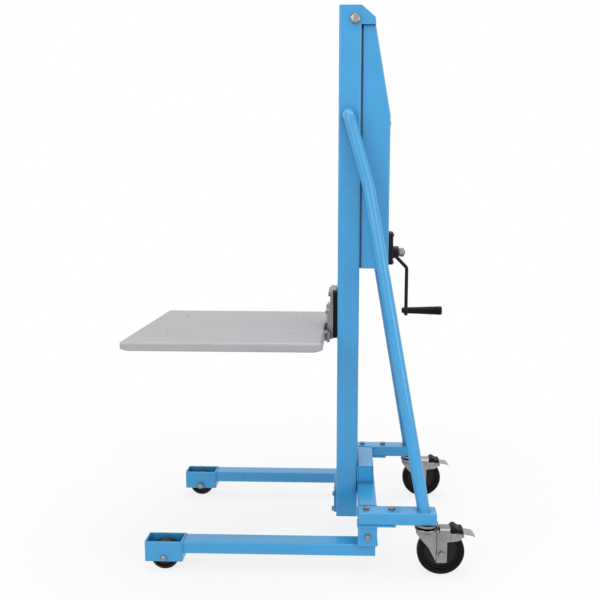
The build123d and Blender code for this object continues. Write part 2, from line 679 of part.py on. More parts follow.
# Carriage: front plate with two cheeks that reach into the mast and carry the axles
carriage_gap = 0.5
pad_thick = 12.0
front_thick = 8.0
bracket_thick = 8.0
carriage_half = 62.0
carriage_below = 29.0
carriage_above = 111.0
carriage_z = (platform_top_z - carriage_below, platform_top_z + carriage_above)
carriage_corner = 8.0
carriage_flange = 6.0
flange_reach = 18.0
cheek_y = (36.0, 41.0)
cheek_back_x = -14.0
cheek_below = 17.0
cheek_above = 97.0
cheek_z = (platform_top_z - cheek_below, platform_top_z + cheek_above)
cheek_corner = 10.0
guide_above = 3.0
guide_spread = 72.0
guide_z = (platform_top_z + guide_above, platform_top_z + guide_above + guide_spread)
guide_wide = 14.0
guide_y = 50.0
guide_axle_d = 14.0
guide_boss_d = 24.0
guide_collar_d = 20.0
guide_collar = 2.0
pad_disc_d = 26.0
pad_foot = 4.0
pad_window_gap = 1.0
anchor_half = 7.5
anchor_high = 15.0
ferrule_d = 10.0
ferrule_high = 25.0
carriage_bolt_d = 8.0
carriage_bolt_flats = 13.0
carriage_bolt_head = 5.5
carriage_bolt_y = 50.0
carriage_bolt_drop = 12.0
bracket_below = 30.0
bracket_above = 61.0
bracket_z = (platform_top_z - bracket_below, platform_top_z + bracket_above)

pad_x = (-mast_depth - carriage_gap - pad_thick, -mast_depth - carriage_gap)
front_x = (pad_x[0] - front_thick, pad_x[0])
bracket_x = (front_x[0] - bracket_thick, front_x[0])
guide_d = mast_depth - 2 * mast_wall - 2 * free_gap
rope_front_x = pulley_x - rope_pitch_r
wall_y = head_inside_y - free_gap

front_plate = block(front_x, (-carriage_half, carriage_half), carriage_z)
front_plate = fillet(front_plate.edges().filter_by(Axis.X), carriage_corner)
front_plate += block(
    (front_x[0] + carriage_corner / 2, front_x[0] + flange_reach),
    (carriage_corner - carriage_half, carriage_half - carriage_corner),
    (carriage_z[1] - carriage_flange, carriage_z[1]),
)
cheek = block((front_x[1], cheek_back_x), cheek_y, cheek_z)
cheek = fillet(cheek.edges().filter_by(Axis.Y).group_by(Axis.X)[-1], cheek_corner)
boss_y = (cheek_y[1], guide_y - free_gap)
for z in guide_z:
    cheek += rod_y(guide_boss_d, mast_mid_x, boss_y, z)
    cheek -= rod_y(guide_axle_d + drum_gap, mast_mid_x, (0, mast_wide), z)
carriage_frame = front_plate
for side in both_sides(cheek):
    carriage_frame += side

pad_z = (carriage_z[0] + pad_foot, carriage_z[1] - carriage_flange)
slide_pad = block(pad_x, (-carriage_half, carriage_half), pad_z)
slide_pad -= block(
    (pad_x[0] - overrun, pad_x[1] + overrun),
    (-cheek_y[1] - pad_window_gap, cheek_y[1] + pad_window_gap),
    (cheek_z[0] - pad_window_gap, cheek_z[1] + pad_window_gap),
)
slide_pad = chamfer(slide_pad.edges().filter_by(Axis.X), pad_window_gap)

axle_half = guide_y + guide_wide + free_gap + guide_collar
carriage_axles = []
side_pads = []
guide_rollers = []
for z in guide_z:
    axle = rod_y(guide_axle_d, mast_mid_x, (-axle_half, axle_half), z)
    wheels = []
    for side in (-1, 1):
        inner = side * (guide_y + guide_wide + free_gap)
        axle += rod_y(guide_collar_d, mast_mid_x, sorted((inner, side * axle_half)), z)
        side_pads.append(rod_y(pad_disc_d, mast_mid_x, sorted((side * axle_half, side * wall_y)), z))
        tread_y = sorted((side * guide_y, side * (guide_y + guide_wide)))
        wheel = rod_y(guide_d, mast_mid_x, tread_y, z)
        wheel = chamfer(wheel.edges().filter_by(GeomType.CIRCLE), guide_collar / 2)
        wheels.append(wheel - rod_y(guide_axle_d + drum_gap, mast_mid_x, tread_y, z))
    carriage_axles.append(axle)
    guide_rollers.append(wheels)

anchor_top = cheek_z[1]
anchor_x = (rope_front_x - anchor_half, rope_front_x + anchor_half)
rope_anchor = block(anchor_x, (-cheek_y[0], cheek_y[0]), (anchor_top - anchor_high, anchor_top))
ferrule = rod_z(ferrule_d, rope_front_x, 0, (anchor_top, anchor_top + ferrule_high))
rope_anchor += chamfer(ferrule.edges().sort_by(Axis.Z)[-1], ferrule_d / 5)
rope_front_z = (anchor_top + ferrule_high, pulley_z)
rope_front = rod_z(rope_d, rope_front_x, 0, rope_front_z)

# Bracket that carries the platform on two arms of thin tube
arm_tube_wide = 30.0
arm_tube_high = 24.0
arm_tube_wall = 2.5
arm_length = 440.0
arm_y = 80.0
bracket_ear = 98.0
platform_under_z = platform_top_z - platform_sheet
bracket = block(bracket_x, (-carriage_half, carriage_half), bracket_z)
bracket = chamfer(bracket.edges().filter_by(Axis.X).group_by(Axis.Z)[-1], carriage_corner)
bracket += block(bracket_x, (-bracket_ear, bracket_ear), (bracket_z[0], platform_under_z))
for side in (-1, 1):
    tube = hollow_tube(arm_tube_wide, arm_tube_high, arm_length, arm_tube_wall, arm_tube_wall)
    bracket += Pos(bracket_x[0] - arm_length, side * arm_y, platform_under_z - arm_tube_high / 2) * tube

# Platform tray: folded sheet with a rounded rim, a return lip and trimmed lower corners
platform_edge_round = 8.0
platform_foot_round = 4.0
platform_lip = 15.0
platform_trim_long = 22.0
platform_trim_high = 6.0
platform_hole_d = 9.0
platform_hole_inset_x = 92.0
platform_hole_y = 132.0
platform_bolt_d = 8.0
platform_bolt_head_d = 15.0
platform_bolt_inset = 14.0
platform_x = (bracket_x[0] - platform_gap - platform_length, bracket_x[0] - platform_gap)
platform_half = platform_wide / 2
rim_z = platform_top_z - platform_rim


def inset_block(inset, z):
    """Box over the tray's outline, drawn in on all four sides."""
    x = (platform_x[0] + inset, platform_x[1] - inset)
    return block(x, (inset - platform_half, platform_half - inset), z)


platform = inset_block(0, (rim_z, platform_top_z))
platform = fillet(platform.edges().filter_by(Axis.Z), platform_edge_round)
platform = fillet(platform.faces().sort_by(Axis.Z)[-1].edges(), platform_edge_round - free_gap)
platform = fillet(platform.faces().sort_by(Axis.Z)[0].edges(), platform_foot_round)
tray_inside = inset_block(platform_sheet, (rim_z + platform_sheet, platform_under_z))
tray_inside = fillet(tray_inside.edges().filter_by(Axis.Z), platform_edge_round - platform_sheet)
tray_top = tray_inside.faces().sort_by(Axis.Z)[-1]
tray_inside = fillet(tray_top.edges(), platform_edge_round - platform_sheet - free_gap)


def trim_outline(rise):
    """Side outline of the tray with its trimmed lower corners, raised for the inside face."""
    return (
        (platform_x[0], platform_top_z),
        (platform_x[0], rim_z + platform_trim_high + rise),
        (platform_x[0] + platform_trim_long, rim_z + rise),
        (platform_x[1] - platform_trim_long, rim_z + rise),
        (platform_x[1], rim_z + platform_trim_high + rise),
        (platform_x[1], platform_top_z),
    )


tray_inside &= plate_xz(trim_outline(platform_sheet), (-platform_half, platform_half))
platform &= plate_xz(trim_outline(0), (-platform_half, platform_half))
platform -= tray_inside
platform -= inset_block(platform_lip, (rim_z - overrun, rim_z + 3 * platform_sheet))
platform_bolts = []
platform_bolt_x = platform_x[1] - platform_bolt_inset
sink_high = (platform_bolt_head_d - platform_bolt_d) / 2
sink_top = Align.CENTER, Align.CENTER, Align.MAX
for side in (-1, 1):
    y = side * arm_y
    notch_half = arm_tube_wide / 2 + free_gap
    notch_x = (platform_x[1] - platform_lip - overrun, platform_x[1] + overrun)
    platform -= block(notch_x, (y - notch_half, y + notch_half), (0, platform_under_z))
    for x in (platform_x[0] + platform_hole_inset_x, platform_x[1] - platform_hole_inset_x):
        platform -= rod_z(platform_hole_d, x, side * platform_hole_y, (rim_z, platform_top_z + overrun))
    drill_z = (rim_z - overrun, platform_top_z + overrun)
    drill = rod_z(platform_bolt_d + 2 * free_gap, platform_bolt_x, y, drill_z)
    sink_at = Pos(platform_bolt_x, y, platform_top_z)
    sink_r = (platform_bolt_d / 2 + free_gap, platform_bolt_head_d / 2 + free_gap)
    sink = sink_at * Cone(sink_r[0], sink_r[1], sink_high, align=sink_top)
    platform -= drill
    platform -= sink
    bracket -= drill
    bracket -= sink
    shank_z = (platform_under_z - arm_tube_high / 2, platform_top_z)
    shank = rod_z(platform_bolt_d, platform_bolt_x, y, shank_z)
    head = sink_at * Cone(platform_bolt_d / 2, platform_bolt_head_d / 2, sink_high, align=sink_top)
    platform_bolts.append(shank + head)

# Bolts through bracket and front plate into the pad, and two more above the bracket
carriage_bolts = []
bracket_rows = (bracket_z[0] + carriage_bolt_drop, bracket_z[1] - carriage_bolt_drop)
upper_row = carriage_z[1] - carriage_bolt_drop
for face_x, z in [(bracket_x[0], row) for row in bracket_rows] + [(front_x[0], upper_row)]:
    for side in (-1, 1):
        y = side * carriage_bolt_y
        end_x = front_x[1] + pad_thick / 2
        drill = rod_x(carriage_bolt_d + 2 * free_gap, (bracket_x[0] - overrun, end_x + free_gap), y, z)
        carriage_frame -= drill
        slide_pad -= drill
        bracket -= drill
        seat = Plane(origin=(face_x, y, z), x_dir=(0, 1, 0), z_dir=(-1, 0, 0))
        shank = rod_x(carriage_bolt_d, (face_x, end_x), y, z)
        carriage_bolts.append(shank + hexagon(seat, carriage_bolt_flats, carriage_bolt_head))

# Swivel castors: plate and king pin on the rail, fork, wheel, brake cover and pedal
castor_plate_d = 70.0
castor_plate_thick = 4.5
crown_d = 66.0
crown_thick = 5.0
king_pin_d = 12.0
king_nut_flats = 18.0
king_nut_high = 7.0
fork_inner_half = 19.0
fork_wall = 3.0
fork_foot_z = 38.0
fork_toe = 10.0
fork_heel = 16.0
fork_arm_z = (94.0, 119.0)
fork_arm_reach = 90.0
fork_corner = 5.0
fork_shoulder = 60.0
castor_axle_d = 10.0
castor_axle_flats = 17.0
castor_axle_head = 6.0
castor_axle_nut = 7.0
rim_d = 92.0
rim_wide = 26.0
castor_hub_d = 36.0
castor_dish = 6.0
rim_round = 2.0
tyre_round = 6.0
brake_pin_d = 6.0
brake_pin_x = 84.0
brake_pin_z = 114.0
brake_half = 15.0
brake_cover_x = (58.0, 94.0)
brake_cover_z = (118.0, 138.0)
brake_cover_slope = ((68.0, 138.0), (78.5, 129.0), (83.0, 126.5))
brake_cover_inside = ((66.0, 135.5), (77.0, 127.3), (84.0, 124.4))
brake_cover_wall = 2.5
brake_cover_round = 2.5
pedal_half = 17.0
pedal_reach = 127.0
pedal_top_z = 124.0
pedal_tip_z = 98.0
pedal_sheet = 3.0

castor_x = swivel_x + castor_trail
castor_z = castor_d / 2
castor_plate_z = rail_bottom_z - castor_plate_thick
crown_z = (castor_plate_z - free_gap - crown_thick, castor_plate_z - free_gap)
king_plate = rod_z(castor_plate_d, swivel_x, rail_y, (castor_plate_z, rail_bottom_z))
king_nut_z = crown_z[0] - free_gap - king_nut_high
king_plate += rod_z(king_pin_d, swivel_x, rail_y, (king_nut_z, rail_bottom_z))
king_plane = Plane(origin=(swivel_x, rail_y, king_nut_z), z_dir=(0, 0, 1))
king_plate += hexagon(king_plane, king_nut_flats, king_nut_high)

fork_points = (
    (swivel_x - crown_d / 2 + fork_corner, crown_z[1]),
    (swivel_x - crown_d / 2 + fork_corner, crown_z[0] - fork_corner / 2),
    (castor_x - fork_toe, fork_foot_z),
    (castor_x + fork_heel, fork_foot_z),
    (castor_x + fork_heel, fork_arm_z[0]),
    (swivel_x + fork_arm_reach, fork_arm_z[0]),
    (swivel_x + fork_arm_reach, fork_arm_z[1]),
    (swivel_x + fork_shoulder, crown_z[1]),
)
fork_side = plate_xz(fork_points, (rail_y + fork_inner_half, rail_y + fork_inner_half + fork_wall))
fork_side = fillet(fork_side.edges().filter_by(Axis.Y), fork_corner / 2)
fork = rod_z(crown_d, swivel_x, rail_y, crown_z)
fork += fork_side + Pos(0, -2 * fork_inner_half - fork_wall, 0) * fork_side
fork_y = (rail_y - castor_plate_d, rail_y + castor_plate_d)
fork -= rod_z(king_pin_d + 2 * running_gap, swivel_x, rail_y, (fork_foot_z, rail_bottom_z))
fork -= rod_y(castor_axle_d + 2 * running_gap, castor_x, fork_y, castor_z)
fork -= rod_y(brake_pin_d + 2 * running_gap, swivel_x + brake_pin_x, fork_y, brake_pin_z)
fork_outer = fork_inner_half + fork_wall
axle_seat = Plane(origin=(castor_x, rail_y + fork_outer, castor_z), x_dir=(1, 0, 0), z_dir=(0, 1, 0))
castor_axle = bolt(axle_seat, castor_axle_d, 2 * fork_outer, castor_axle_flats, castor_axle_head, castor_axle_nut)
pin_half = fork_outer + fork_wall
brake_pin = rod_y(brake_pin_d, swivel_x + brake_pin_x, (rail_y - pin_half, rail_y + pin_half), brake_pin_z)

hub_wide = 2 * (fork_inner_half - free_gap)
castor_bore = castor_axle_d + 2 * running_gap
castor_place = Pos(castor_x, rail_y, castor_z)
castor_rim = roller(rim_d, rim_wide, hub_wide, castor_hub_d, castor_dish, castor_bore, rim_round)
castor_rim = castor_place * castor_rim
tyre_body = Rot(90, 0, 0) * Cylinder(castor_d / 2, castor_wide)
tyre_body = fillet(tyre_body.edges().filter_by(GeomType.CIRCLE), tyre_round)
castor_tyre = castor_place * (tyre_body - Rot(90, 0, 0) * Cylinder(rim_d / 2, castor_wide))

cover_y = fork_outer + free_gap
cover_side_y = cover_y + brake_cover_wall


def cover_outline(slope, x, low_z):
    """Side outline of the brake cover: level in front, and lower behind to pass under the flange."""
    points = [(swivel_x + x[0], low_z), (swivel_x + x[0], slope[0][1])]
    points += [(swivel_x + place, z) for place, z in slope]
    return points + [(swivel_x + x[1], slope[-1][1]), (swivel_x + x[1], low_z)]


cover_points = cover_outline(brake_cover_slope, brake_cover_x, brake_cover_z[0])
brake_cover = plate_xz(cover_points, (rail_y - cover_side_y, rail_y + cover_side_y))
round_edges = [edge for edge in brake_cover.edges() if abs(edge.center().Y - rail_y) > cover_y]
round_edges = [edge for edge in round_edges if edge.center().Z > brake_cover_slope[-1][1] - free_gap]
round_edges = [edge for edge in round_edges if edge.bounding_box().size.X > free_gap]
brake_cover = fillet(round_edges, brake_cover_round)
inside_x = (brake_cover_x[0] - overrun, brake_cover_x[1] + overrun)
inside_points = cover_outline(brake_cover_inside, inside_x, brake_cover_z[0] - overrun)
brake_cover -= plate_xz(inside_points, (rail_y - cover_y, rail_y + cover_y))

cam_back = 11.0
cam_heel_rise = 5.0
cam_waist = 2.0
cam_waist_drop = 5.4
cam_nose = 6.0
cam_front = 18.0
cam_drop = 10.0
tread_front = 17.0
cam_under_z = pedal_top_z - pedal_sheet
pin_x = swivel_x + brake_pin_x
cam_points = (
    (pin_x - cam_back, brake_pin_z + cam_heel_rise),
    (pin_x - cam_waist, brake_pin_z - cam_waist_drop),
    (pin_x + cam_nose, brake_pin_z - cam_drop),
    (pin_x + cam_front, brake_pin_z - cam_drop),
    (pin_x + cam_front, brake_pin_z),
    (pin_x + cam_front - pedal_sheet, cam_under_z),
    (pin_x - cam_back, cam_under_z),
)
brake_cam = plate_xz(cam_points, (rail_y - brake_half, rail_y + brake_half))
brake_cam -= rod_y(brake_pin_d + 2 * running_gap, pin_x, fork_y, brake_pin_z)
tread_points = (
    (pin_x - cam_back, cam_under_z),
    (pin_x + tread_front, cam_under_z),
    (swivel_x + pedal_reach - pedal_sheet, pedal_tip_z),
    (swivel_x + pedal_reach, pedal_tip_z + pedal_sheet / 2),
    (pin_x + tread_front + cam_waist, pedal_top_z),
    (pin_x - cam_back, pedal_top_z),
)
brake_pedal = plate_xz(tread_points, (rail_y - pedal_half, rail_y + pedal_half))

# Name each piece, and move it so that the middle of the trolley is the origin
front_edge_x = platform_x[0]
back_edge_x = swivel_x + pedal_reach
to_middle = Pos(-(front_edge_x + back_edge_x) / 2, 0, 0)
pieces = {}


def add(name, *shapes):
    """Keep a piece, or a group of like pieces, under its name."""
    pieces[name] = [solid for shape in shapes for solid in shape.solids()]


def add_pair(name, *shapes):
    """Keep the right-hand piece and its left-hand mirror image under two names."""
    add(name + "_right", *shapes)
    add(name + "_left", *[mirror(shape, Plane.XZ) for shape in shapes])


def add_both(name, *shapes):
    """Keep a piece and its mirror image as one group."""
    add(name, *[half for shape in shapes for half in both_sides(shape)])


add_pair("leg", leg)
add_pair("rail", rail)
add_both("posts", post + flange)
add("cross_beam", beam)
add_both("tube_plugs", *plugs)
add_both("wheel_boxes", wheel_box)
add_both("roller_axles", roller_axle)
add_pair("front_roller", front_roller)
add("mast", mast)
side_bolts = [half for one in rail_bolts + [post_bolt] for half in both_sides(one)]
add("base_bolts", *mast_bolts, *stop_bolts, *side_bolts)
add("stop_plate", stop_plate)
add("head_cap", head_cap)
add("pulley", pulley)
add("pulley_axle", pulley_axle)
add_both("pulley_spacers", spacer)
add_pair("handle_tube", handle)
add("winch_frame", winch_frame)
add("gear_case", gear_case)
add("winch_screws", *case_screws, *both_sides(strap_screw))
add("drum_gear", drum_gear)
add("drum_shaft", drum_shaft)
add("rope_drum", rope_drum)
add("rope_coils", rope_coils)
add("crank_shaft", crank_shaft)
add("crank_arm", crank_arm)
add("crank_nut", crank_nut)
add("grip_spindle", spindle)
add("crank_grip", grip)
add("winch_cover", cover)
add_both("cover_straps", strap)
add("rope_back_run", rope_back)
add("rope_front_run", rope_front)
add("carriage_frame", carriage_frame)
add("slide_pad", slide_pad)
add("carriage_axles", *carriage_axles)
add("side_pads", *side_pads)
add("guide_rollers_lower", *guide_rollers[0])
add("guide_rollers_upper", *guide_rollers[1])
add("rope_anchor", rope_anchor)
add("platform_bracket", bracket)
add("platform", platform)
add("platform_bolts", *platform_bolts)
add("carriage_bolts", *carriage_bolts)
add_both("castor_plates", king_plate)
add_pair("castor_fork", fork)
add_pair("castor_bolts", castor_axle, brake_pin)
add_pair("castor_rim", castor_rim)
add_pair("castor_tyre", castor_tyre)
add_pair("brake_cover", brake_cover)
add_pair("brake_pedal", brake_cam, brake_pedal)

os.makedirs("parts", exist_ok=True)
for name, solids in pieces.items():
    moved = [to_middle * solid for solid in solids]
    export_step(moved[0] if len(moved) == 1 else Compound(children=moved), f"parts/{name}.step")
print(len(pieces), "pieces; length", round(back_edge_x - front_edge_x, 1), "height", mast_top_z)
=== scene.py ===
# %% [markdown]
# # A hand-cranked mini lift trolley
# A small warehouse lift: a flat tray rides up a channel mast on guide rollers, and a wire
# rope pulls it, wound by a geared hand winch. The engineering model already has every
# plate, tube and gear in its true place. This lesson dresses it: real paint, zinc, rubber
# and rope, with the welds, screws and strands that flat solids leave out.

# %% The fixed frame
import json
import math
import bmesh
import bpy
from mathutils import Matrix, Vector


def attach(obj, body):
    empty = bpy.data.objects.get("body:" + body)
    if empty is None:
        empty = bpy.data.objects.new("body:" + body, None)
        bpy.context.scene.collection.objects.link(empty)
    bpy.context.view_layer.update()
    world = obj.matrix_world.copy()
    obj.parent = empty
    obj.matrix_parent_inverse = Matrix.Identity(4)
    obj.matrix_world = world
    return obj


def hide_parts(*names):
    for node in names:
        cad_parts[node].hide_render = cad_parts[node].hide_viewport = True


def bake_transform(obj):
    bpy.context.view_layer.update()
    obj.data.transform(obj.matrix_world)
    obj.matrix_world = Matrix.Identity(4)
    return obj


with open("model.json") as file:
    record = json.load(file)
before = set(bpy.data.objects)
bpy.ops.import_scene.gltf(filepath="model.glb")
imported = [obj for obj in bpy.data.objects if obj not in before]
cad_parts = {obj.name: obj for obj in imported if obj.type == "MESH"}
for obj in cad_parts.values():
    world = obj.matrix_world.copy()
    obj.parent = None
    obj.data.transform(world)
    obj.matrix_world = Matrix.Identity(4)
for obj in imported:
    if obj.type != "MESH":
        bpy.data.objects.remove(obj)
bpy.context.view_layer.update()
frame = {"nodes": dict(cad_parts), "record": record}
print("nodes:", len(frame["nodes"]))

# %% [markdown]
# ## Where things are
# A workshop drawing of this trolley is measured from one edge: the back face of the mast.
# The frame's origin is the middle of the whole trolley, so one small function turns a place
# on the drawing, in millimetres, into a place in the scene, in metres. X runs to the rear
# and Y to the right. The camera stands at the left side, a metre up, as the photographer
# did, and looks down a little.

# %% From the drawing to the scene
MAST_BACK = 153.75
SIDES = {"left": -1, "right": 1}
X, Y, Z = Vector((1, 0, 0)), Vector((0, 1, 0)), Vector((0, 0, 1))
PULLEY_X, PULLEY_Z = -17.0, 1449.0


def at(x, y, z):
    """A place measured in millimetres from the back of the mast, in the scene's metres."""
    return Vector(((x + MAST_BACK) / 1000, y / 1000, z / 1000))


def in_scene(name, data):
    """A new object with this data, linked to the scene."""
    thing = bpy.data.objects.new(name, data)
    bpy.context.scene.collection.objects.link(thing)
    return thing


print("the head pulley turns at", tuple(round(c, 4) for c in at(PULLEY_X, 0, PULLEY_Z)))

# %% The camera
VIEW_FROM = (0.1215, -2.0590, 0.9822)
LOOK_DOWN = math.radians(8.043)
LOOK_LEFT = math.radians(1.281)
HEAD_TILT = math.radians(0.273)
camera_data = bpy.data.cameras.new("studio_camera")
camera_data.sensor_width = 36
camera_data.lens = 43.37
camera_data.shift_x = -0.0524
camera = in_scene("studio_camera", camera_data)
turn = Matrix.Rotation(LOOK_LEFT, 4, "Z") @ Matrix.Rotation(math.pi / 2 - LOOK_DOWN, 4, "X")
camera.matrix_world = Matrix.Translation(VIEW_FROM) @ turn @ Matrix.Rotation(HEAD_TILT, 4, "Z")
bpy.context.scene.camera = camera
bpy.context.scene.view_settings.view_transform = "Standard"
print("camera at", VIEW_FROM)

# %% [markdown]
# ## Effects that several finishes share
# Painted steel, bare steel and moulded plastic look different, but the same things happen to
# all of them: their sharp edges are really a little round and catch the light, their skin
# has a fine grain, and use leaves soft marks. On top of these, edges get a lighter colour that
# is partly wear and partly a painted highlight, and corners get painted shade. Each effect is
# built once as a shader group with named sockets, and every finish places it with its own numbers.

# %% Colours and nodes
def linear(red, green, blue):
    """A colour as a screen shows it, 0 to 255, in the linear values that shaders want."""
    out = []
    for share in (red / 255, green / 255, blue / 255):
        out.append(share / 12.92 if share <= 0.04045 else ((share + 0.055) / 1.055) ** 2.4)
    return (*out, 1.0)


def new_group(name, inputs, outputs):
    """An empty shader group with its named sockets, and its input and output nodes."""
    tree = bpy.data.node_groups.new(name, "ShaderNodeTree")
    for label, kind, value in inputs:
        socket = tree.interface.new_socket(name=label, in_out="INPUT", socket_type=kind)
        socket.default_value = value
    for label, kind in outputs:
        tree.interface.new_socket(name=label, in_out="OUTPUT", socket_type=kind)
    print("group", name, "takes", [label for label, _, _ in inputs])
    return tree, tree.nodes.new("NodeGroupInput"), tree.nodes.new("NodeGroupOutput")


def feed(tree, socket, value):
    """Gives an input a link if the value is a socket, and a plain value if it isn't."""
    if isinstance(value, bpy.types.NodeSocket):
        tree.links.new(value, socket)
    else:
        socket.default_value = value


def put(tree, kind, feeds=None, **settings):
    """A node in a tree, with its settings, and with a link or a value on each named input."""
    node = tree.nodes.new(kind)
    for key, value in settings.items():
        setattr(node, key, value)
    for key, value in (feeds or {}).items():
        feed(tree, node.inputs[key], value)
    return node


def worked(tree, operation, *values, **settings):
    """The result of one sum on sockets or plain numbers."""
    feeds = dict(enumerate(values))
    return put(tree, "ShaderNodeMath", feeds, operation=operation, **settings).outputs[0]


def mapped(tree, value, start, end):
    """The value's share of the way from start to end, held between 0 and 1."""
    feeds = {"Value": value, "From Min": start, "From Max": end}
    return put(tree, "ShaderNodeMapRange", feeds).outputs["Result"]


def mixed(tree, factor, first, second):
    """The mix of two colours, each a socket or a plain colour."""
    node = put(tree, "ShaderNodeMix", data_type="RGBA")
    colours = [socket for socket in node.inputs if socket.type == "RGBA"]
    for socket, value in zip([node.inputs[0]] + colours, (factor, first, second)):
        feed(tree, socket, value)
    return [socket for socket in node.outputs if socket.type == "RGBA"][0]


print("a mid blue in linear values:", [round(c, 3) for c in linear(88, 166, 216)])

# %% [markdown]
# ### Fine grain
# Powder coat has a soft orange peel, cast and moulded parts have a fine stipple, and rolled
# steel has lines along the sheet. All are noise at some scale, stretched or not. The group
# gives a height for bump, and a slow mask for changes in tone over a whole piece.

# %% The grain group
grain_group, g_in, g_out = new_group(
    "fine_grain",
    [
        ("Scale", "NodeSocketFloat", 900.0),
        ("Stretch", "NodeSocketVector", (1.0, 1.0, 1.0)),
        ("Slow Scale", "NodeSocketFloat", 9.0),
    ],
    [("Height", "NodeSocketFloat"), ("Mask", "NodeSocketFloat")],
)
place = put(grain_group, "ShaderNodeTexCoord").outputs["Object"]
stretched = put(
    grain_group, "ShaderNodeVectorMath",
    {0: place, 1: g_in.outputs["Stretch"]}, operation="MULTIPLY",
)
fine = put(
    grain_group, "ShaderNodeTexNoise",
    {"Vector": stretched.outputs[0], "Scale": g_in.outputs["Scale"], "Detail": 2.0},
)
slow = put(
    grain_group, "ShaderNodeTexNoise",
    {"Vector": place, "Scale": g_in.outputs["Slow Scale"], "Detail": 4.0, "Roughness": 0.6},
)
spread = mapped(grain_group, slow.outputs["Fac"], 0.32, 0.68)
grain_group.links.new(fine.outputs["Fac"], g_out.inputs["Height"])
grain_group.links.new(spread, g_out.inputs["Mask"])

# %% [markdown]
# ### Soft edges
# A folded or cut steel edge has a radius of half a millimetre or more. The Bevel node looks
# a short way round each point and bends the normal near an edge, so every edge shows its
# thin line of light. The same measure tells how near an edge is, which the finishes use for a
# lighter edge colour: partly paint that is rubbed thin there, partly a painted highlight.

# %% The edge group
edge_group, e_in, e_out = new_group(
    "soft_edges",
    [
        ("Radius", "NodeSocketFloat", 0.0008),
        ("Height", "NodeSocketFloat", 0.5),
        ("Strength", "NodeSocketFloat", 0.1),
        ("Distance", "NodeSocketFloat", 0.0002),
    ],
    [("Normal", "NodeSocketVector"), ("Edge", "NodeSocketFloat")],
)
rounded = put(edge_group, "ShaderNodeBevel", {"Radius": e_in.outputs["Radius"]}, samples=4)
flat = put(edge_group, "ShaderNodeNewGeometry")
likeness = put(
    edge_group, "ShaderNodeVectorMath",
    {0: rounded.outputs["Normal"], 1: flat.outputs["Normal"]}, operation="DOT_PRODUCT",
)
nearness = mapped(edge_group, likeness.outputs["Value"], 0.995, 0.86)
bumped = put(
    edge_group, "ShaderNodeBump",
    {
        "Strength": e_in.outputs["Strength"], "Distance": e_in.outputs["Distance"],
        "Height": e_in.outputs["Height"], "Normal": rounded.outputs["Normal"],
    },
)
edge_group.links.new(bumped.outputs["Normal"], e_out.inputs["Normal"])
edge_group.links.new(nearness, e_out.inputs["Edge"])

# %% [markdown]
# ### Shade in corners
# Shade falls where two sheets meet, and the nose of a bolt or the root of a fold looks darker
# than the open sheet beside it. This shade is painted into the colour: the Ambient Occlusion
# node tells how closed in a point is, and the group turns that into a factor that dims the colour.

# %% The corner group
painted_shade_group, c_in, c_out = new_group(
    "painted_corner_shade",
    [("Reach", "NodeSocketFloat", 0.02), ("Depth", "NodeSocketFloat", 0.5)],
    [("Factor", "NodeSocketFloat")],
)
# Painted shade: the occlusion measure darkens the colour in corners, recesses and between parts.
closed_in = put(
    painted_shade_group, "ShaderNodeAmbientOcclusion", {"Distance": c_in.outputs["Reach"]}, samples=6,
)
openness = mapped(painted_shade_group, closed_in.outputs["AO"], 0.25, 0.95)
lost = worked(painted_shade_group, "SUBTRACT", 1.0, openness)
dimmed = worked(painted_shade_group, "MULTIPLY", lost, c_in.outputs["Depth"])
painted_shade_group.links.new(worked(painted_shade_group, "SUBTRACT", 1.0, dimmed), c_out.inputs["Factor"])

# %% [markdown]
# ### Handling marks
# A working trolley is wiped, leaned on and pushed against shelves. Thin dull scuffs, seen
# mostly as a change of gloss, are stretched noise cut off high. The group gives a mask that
# is black nearly everywhere.

# %% The marks group
marks_group, m_in, m_out = new_group(
    "handling_marks",
    [("Scale", "NodeSocketFloat", 30.0), ("Amount", "NodeSocketFloat", 0.5)],
    [("Marks", "NodeSocketFloat")],
)
spot = put(marks_group, "ShaderNodeTexCoord").outputs["Object"]
slanted = put(
    marks_group, "ShaderNodeMapping",
    {"Vector": spot, "Rotation": (0.5, 0.3, 0.9), "Scale": (1.0, 7.0, 2.0)},
)
streak = put(
    marks_group, "ShaderNodeTexNoise",
    {
        "Vector": slanted.outputs[0], "Scale": m_in.outputs["Scale"],
        "Detail": 6.0, "Roughness": 0.7,
    },
)
rare = mapped(marks_group, streak.outputs["Fac"], 0.58, 0.74)
scuffs = worked(marks_group, "MULTIPLY", rare, m_in.outputs["Amount"])
marks_group.links.new(scuffs, m_out.inputs["Marks"])

# %% [markdown]
# ## The finishes
# One function builds each finish from the shared groups: a colour that drifts a little, a
# lighter tone on edges that is partly wear and partly a painted highlight, painted shade in
# corners, a roughness that marks disturb, and the bent and bumped normal. What is the same all
# over, such as metallic or coat, is set straight on the shader.

# %% A finish from the shared groups
COAT_ROUGHNESS = 0.12


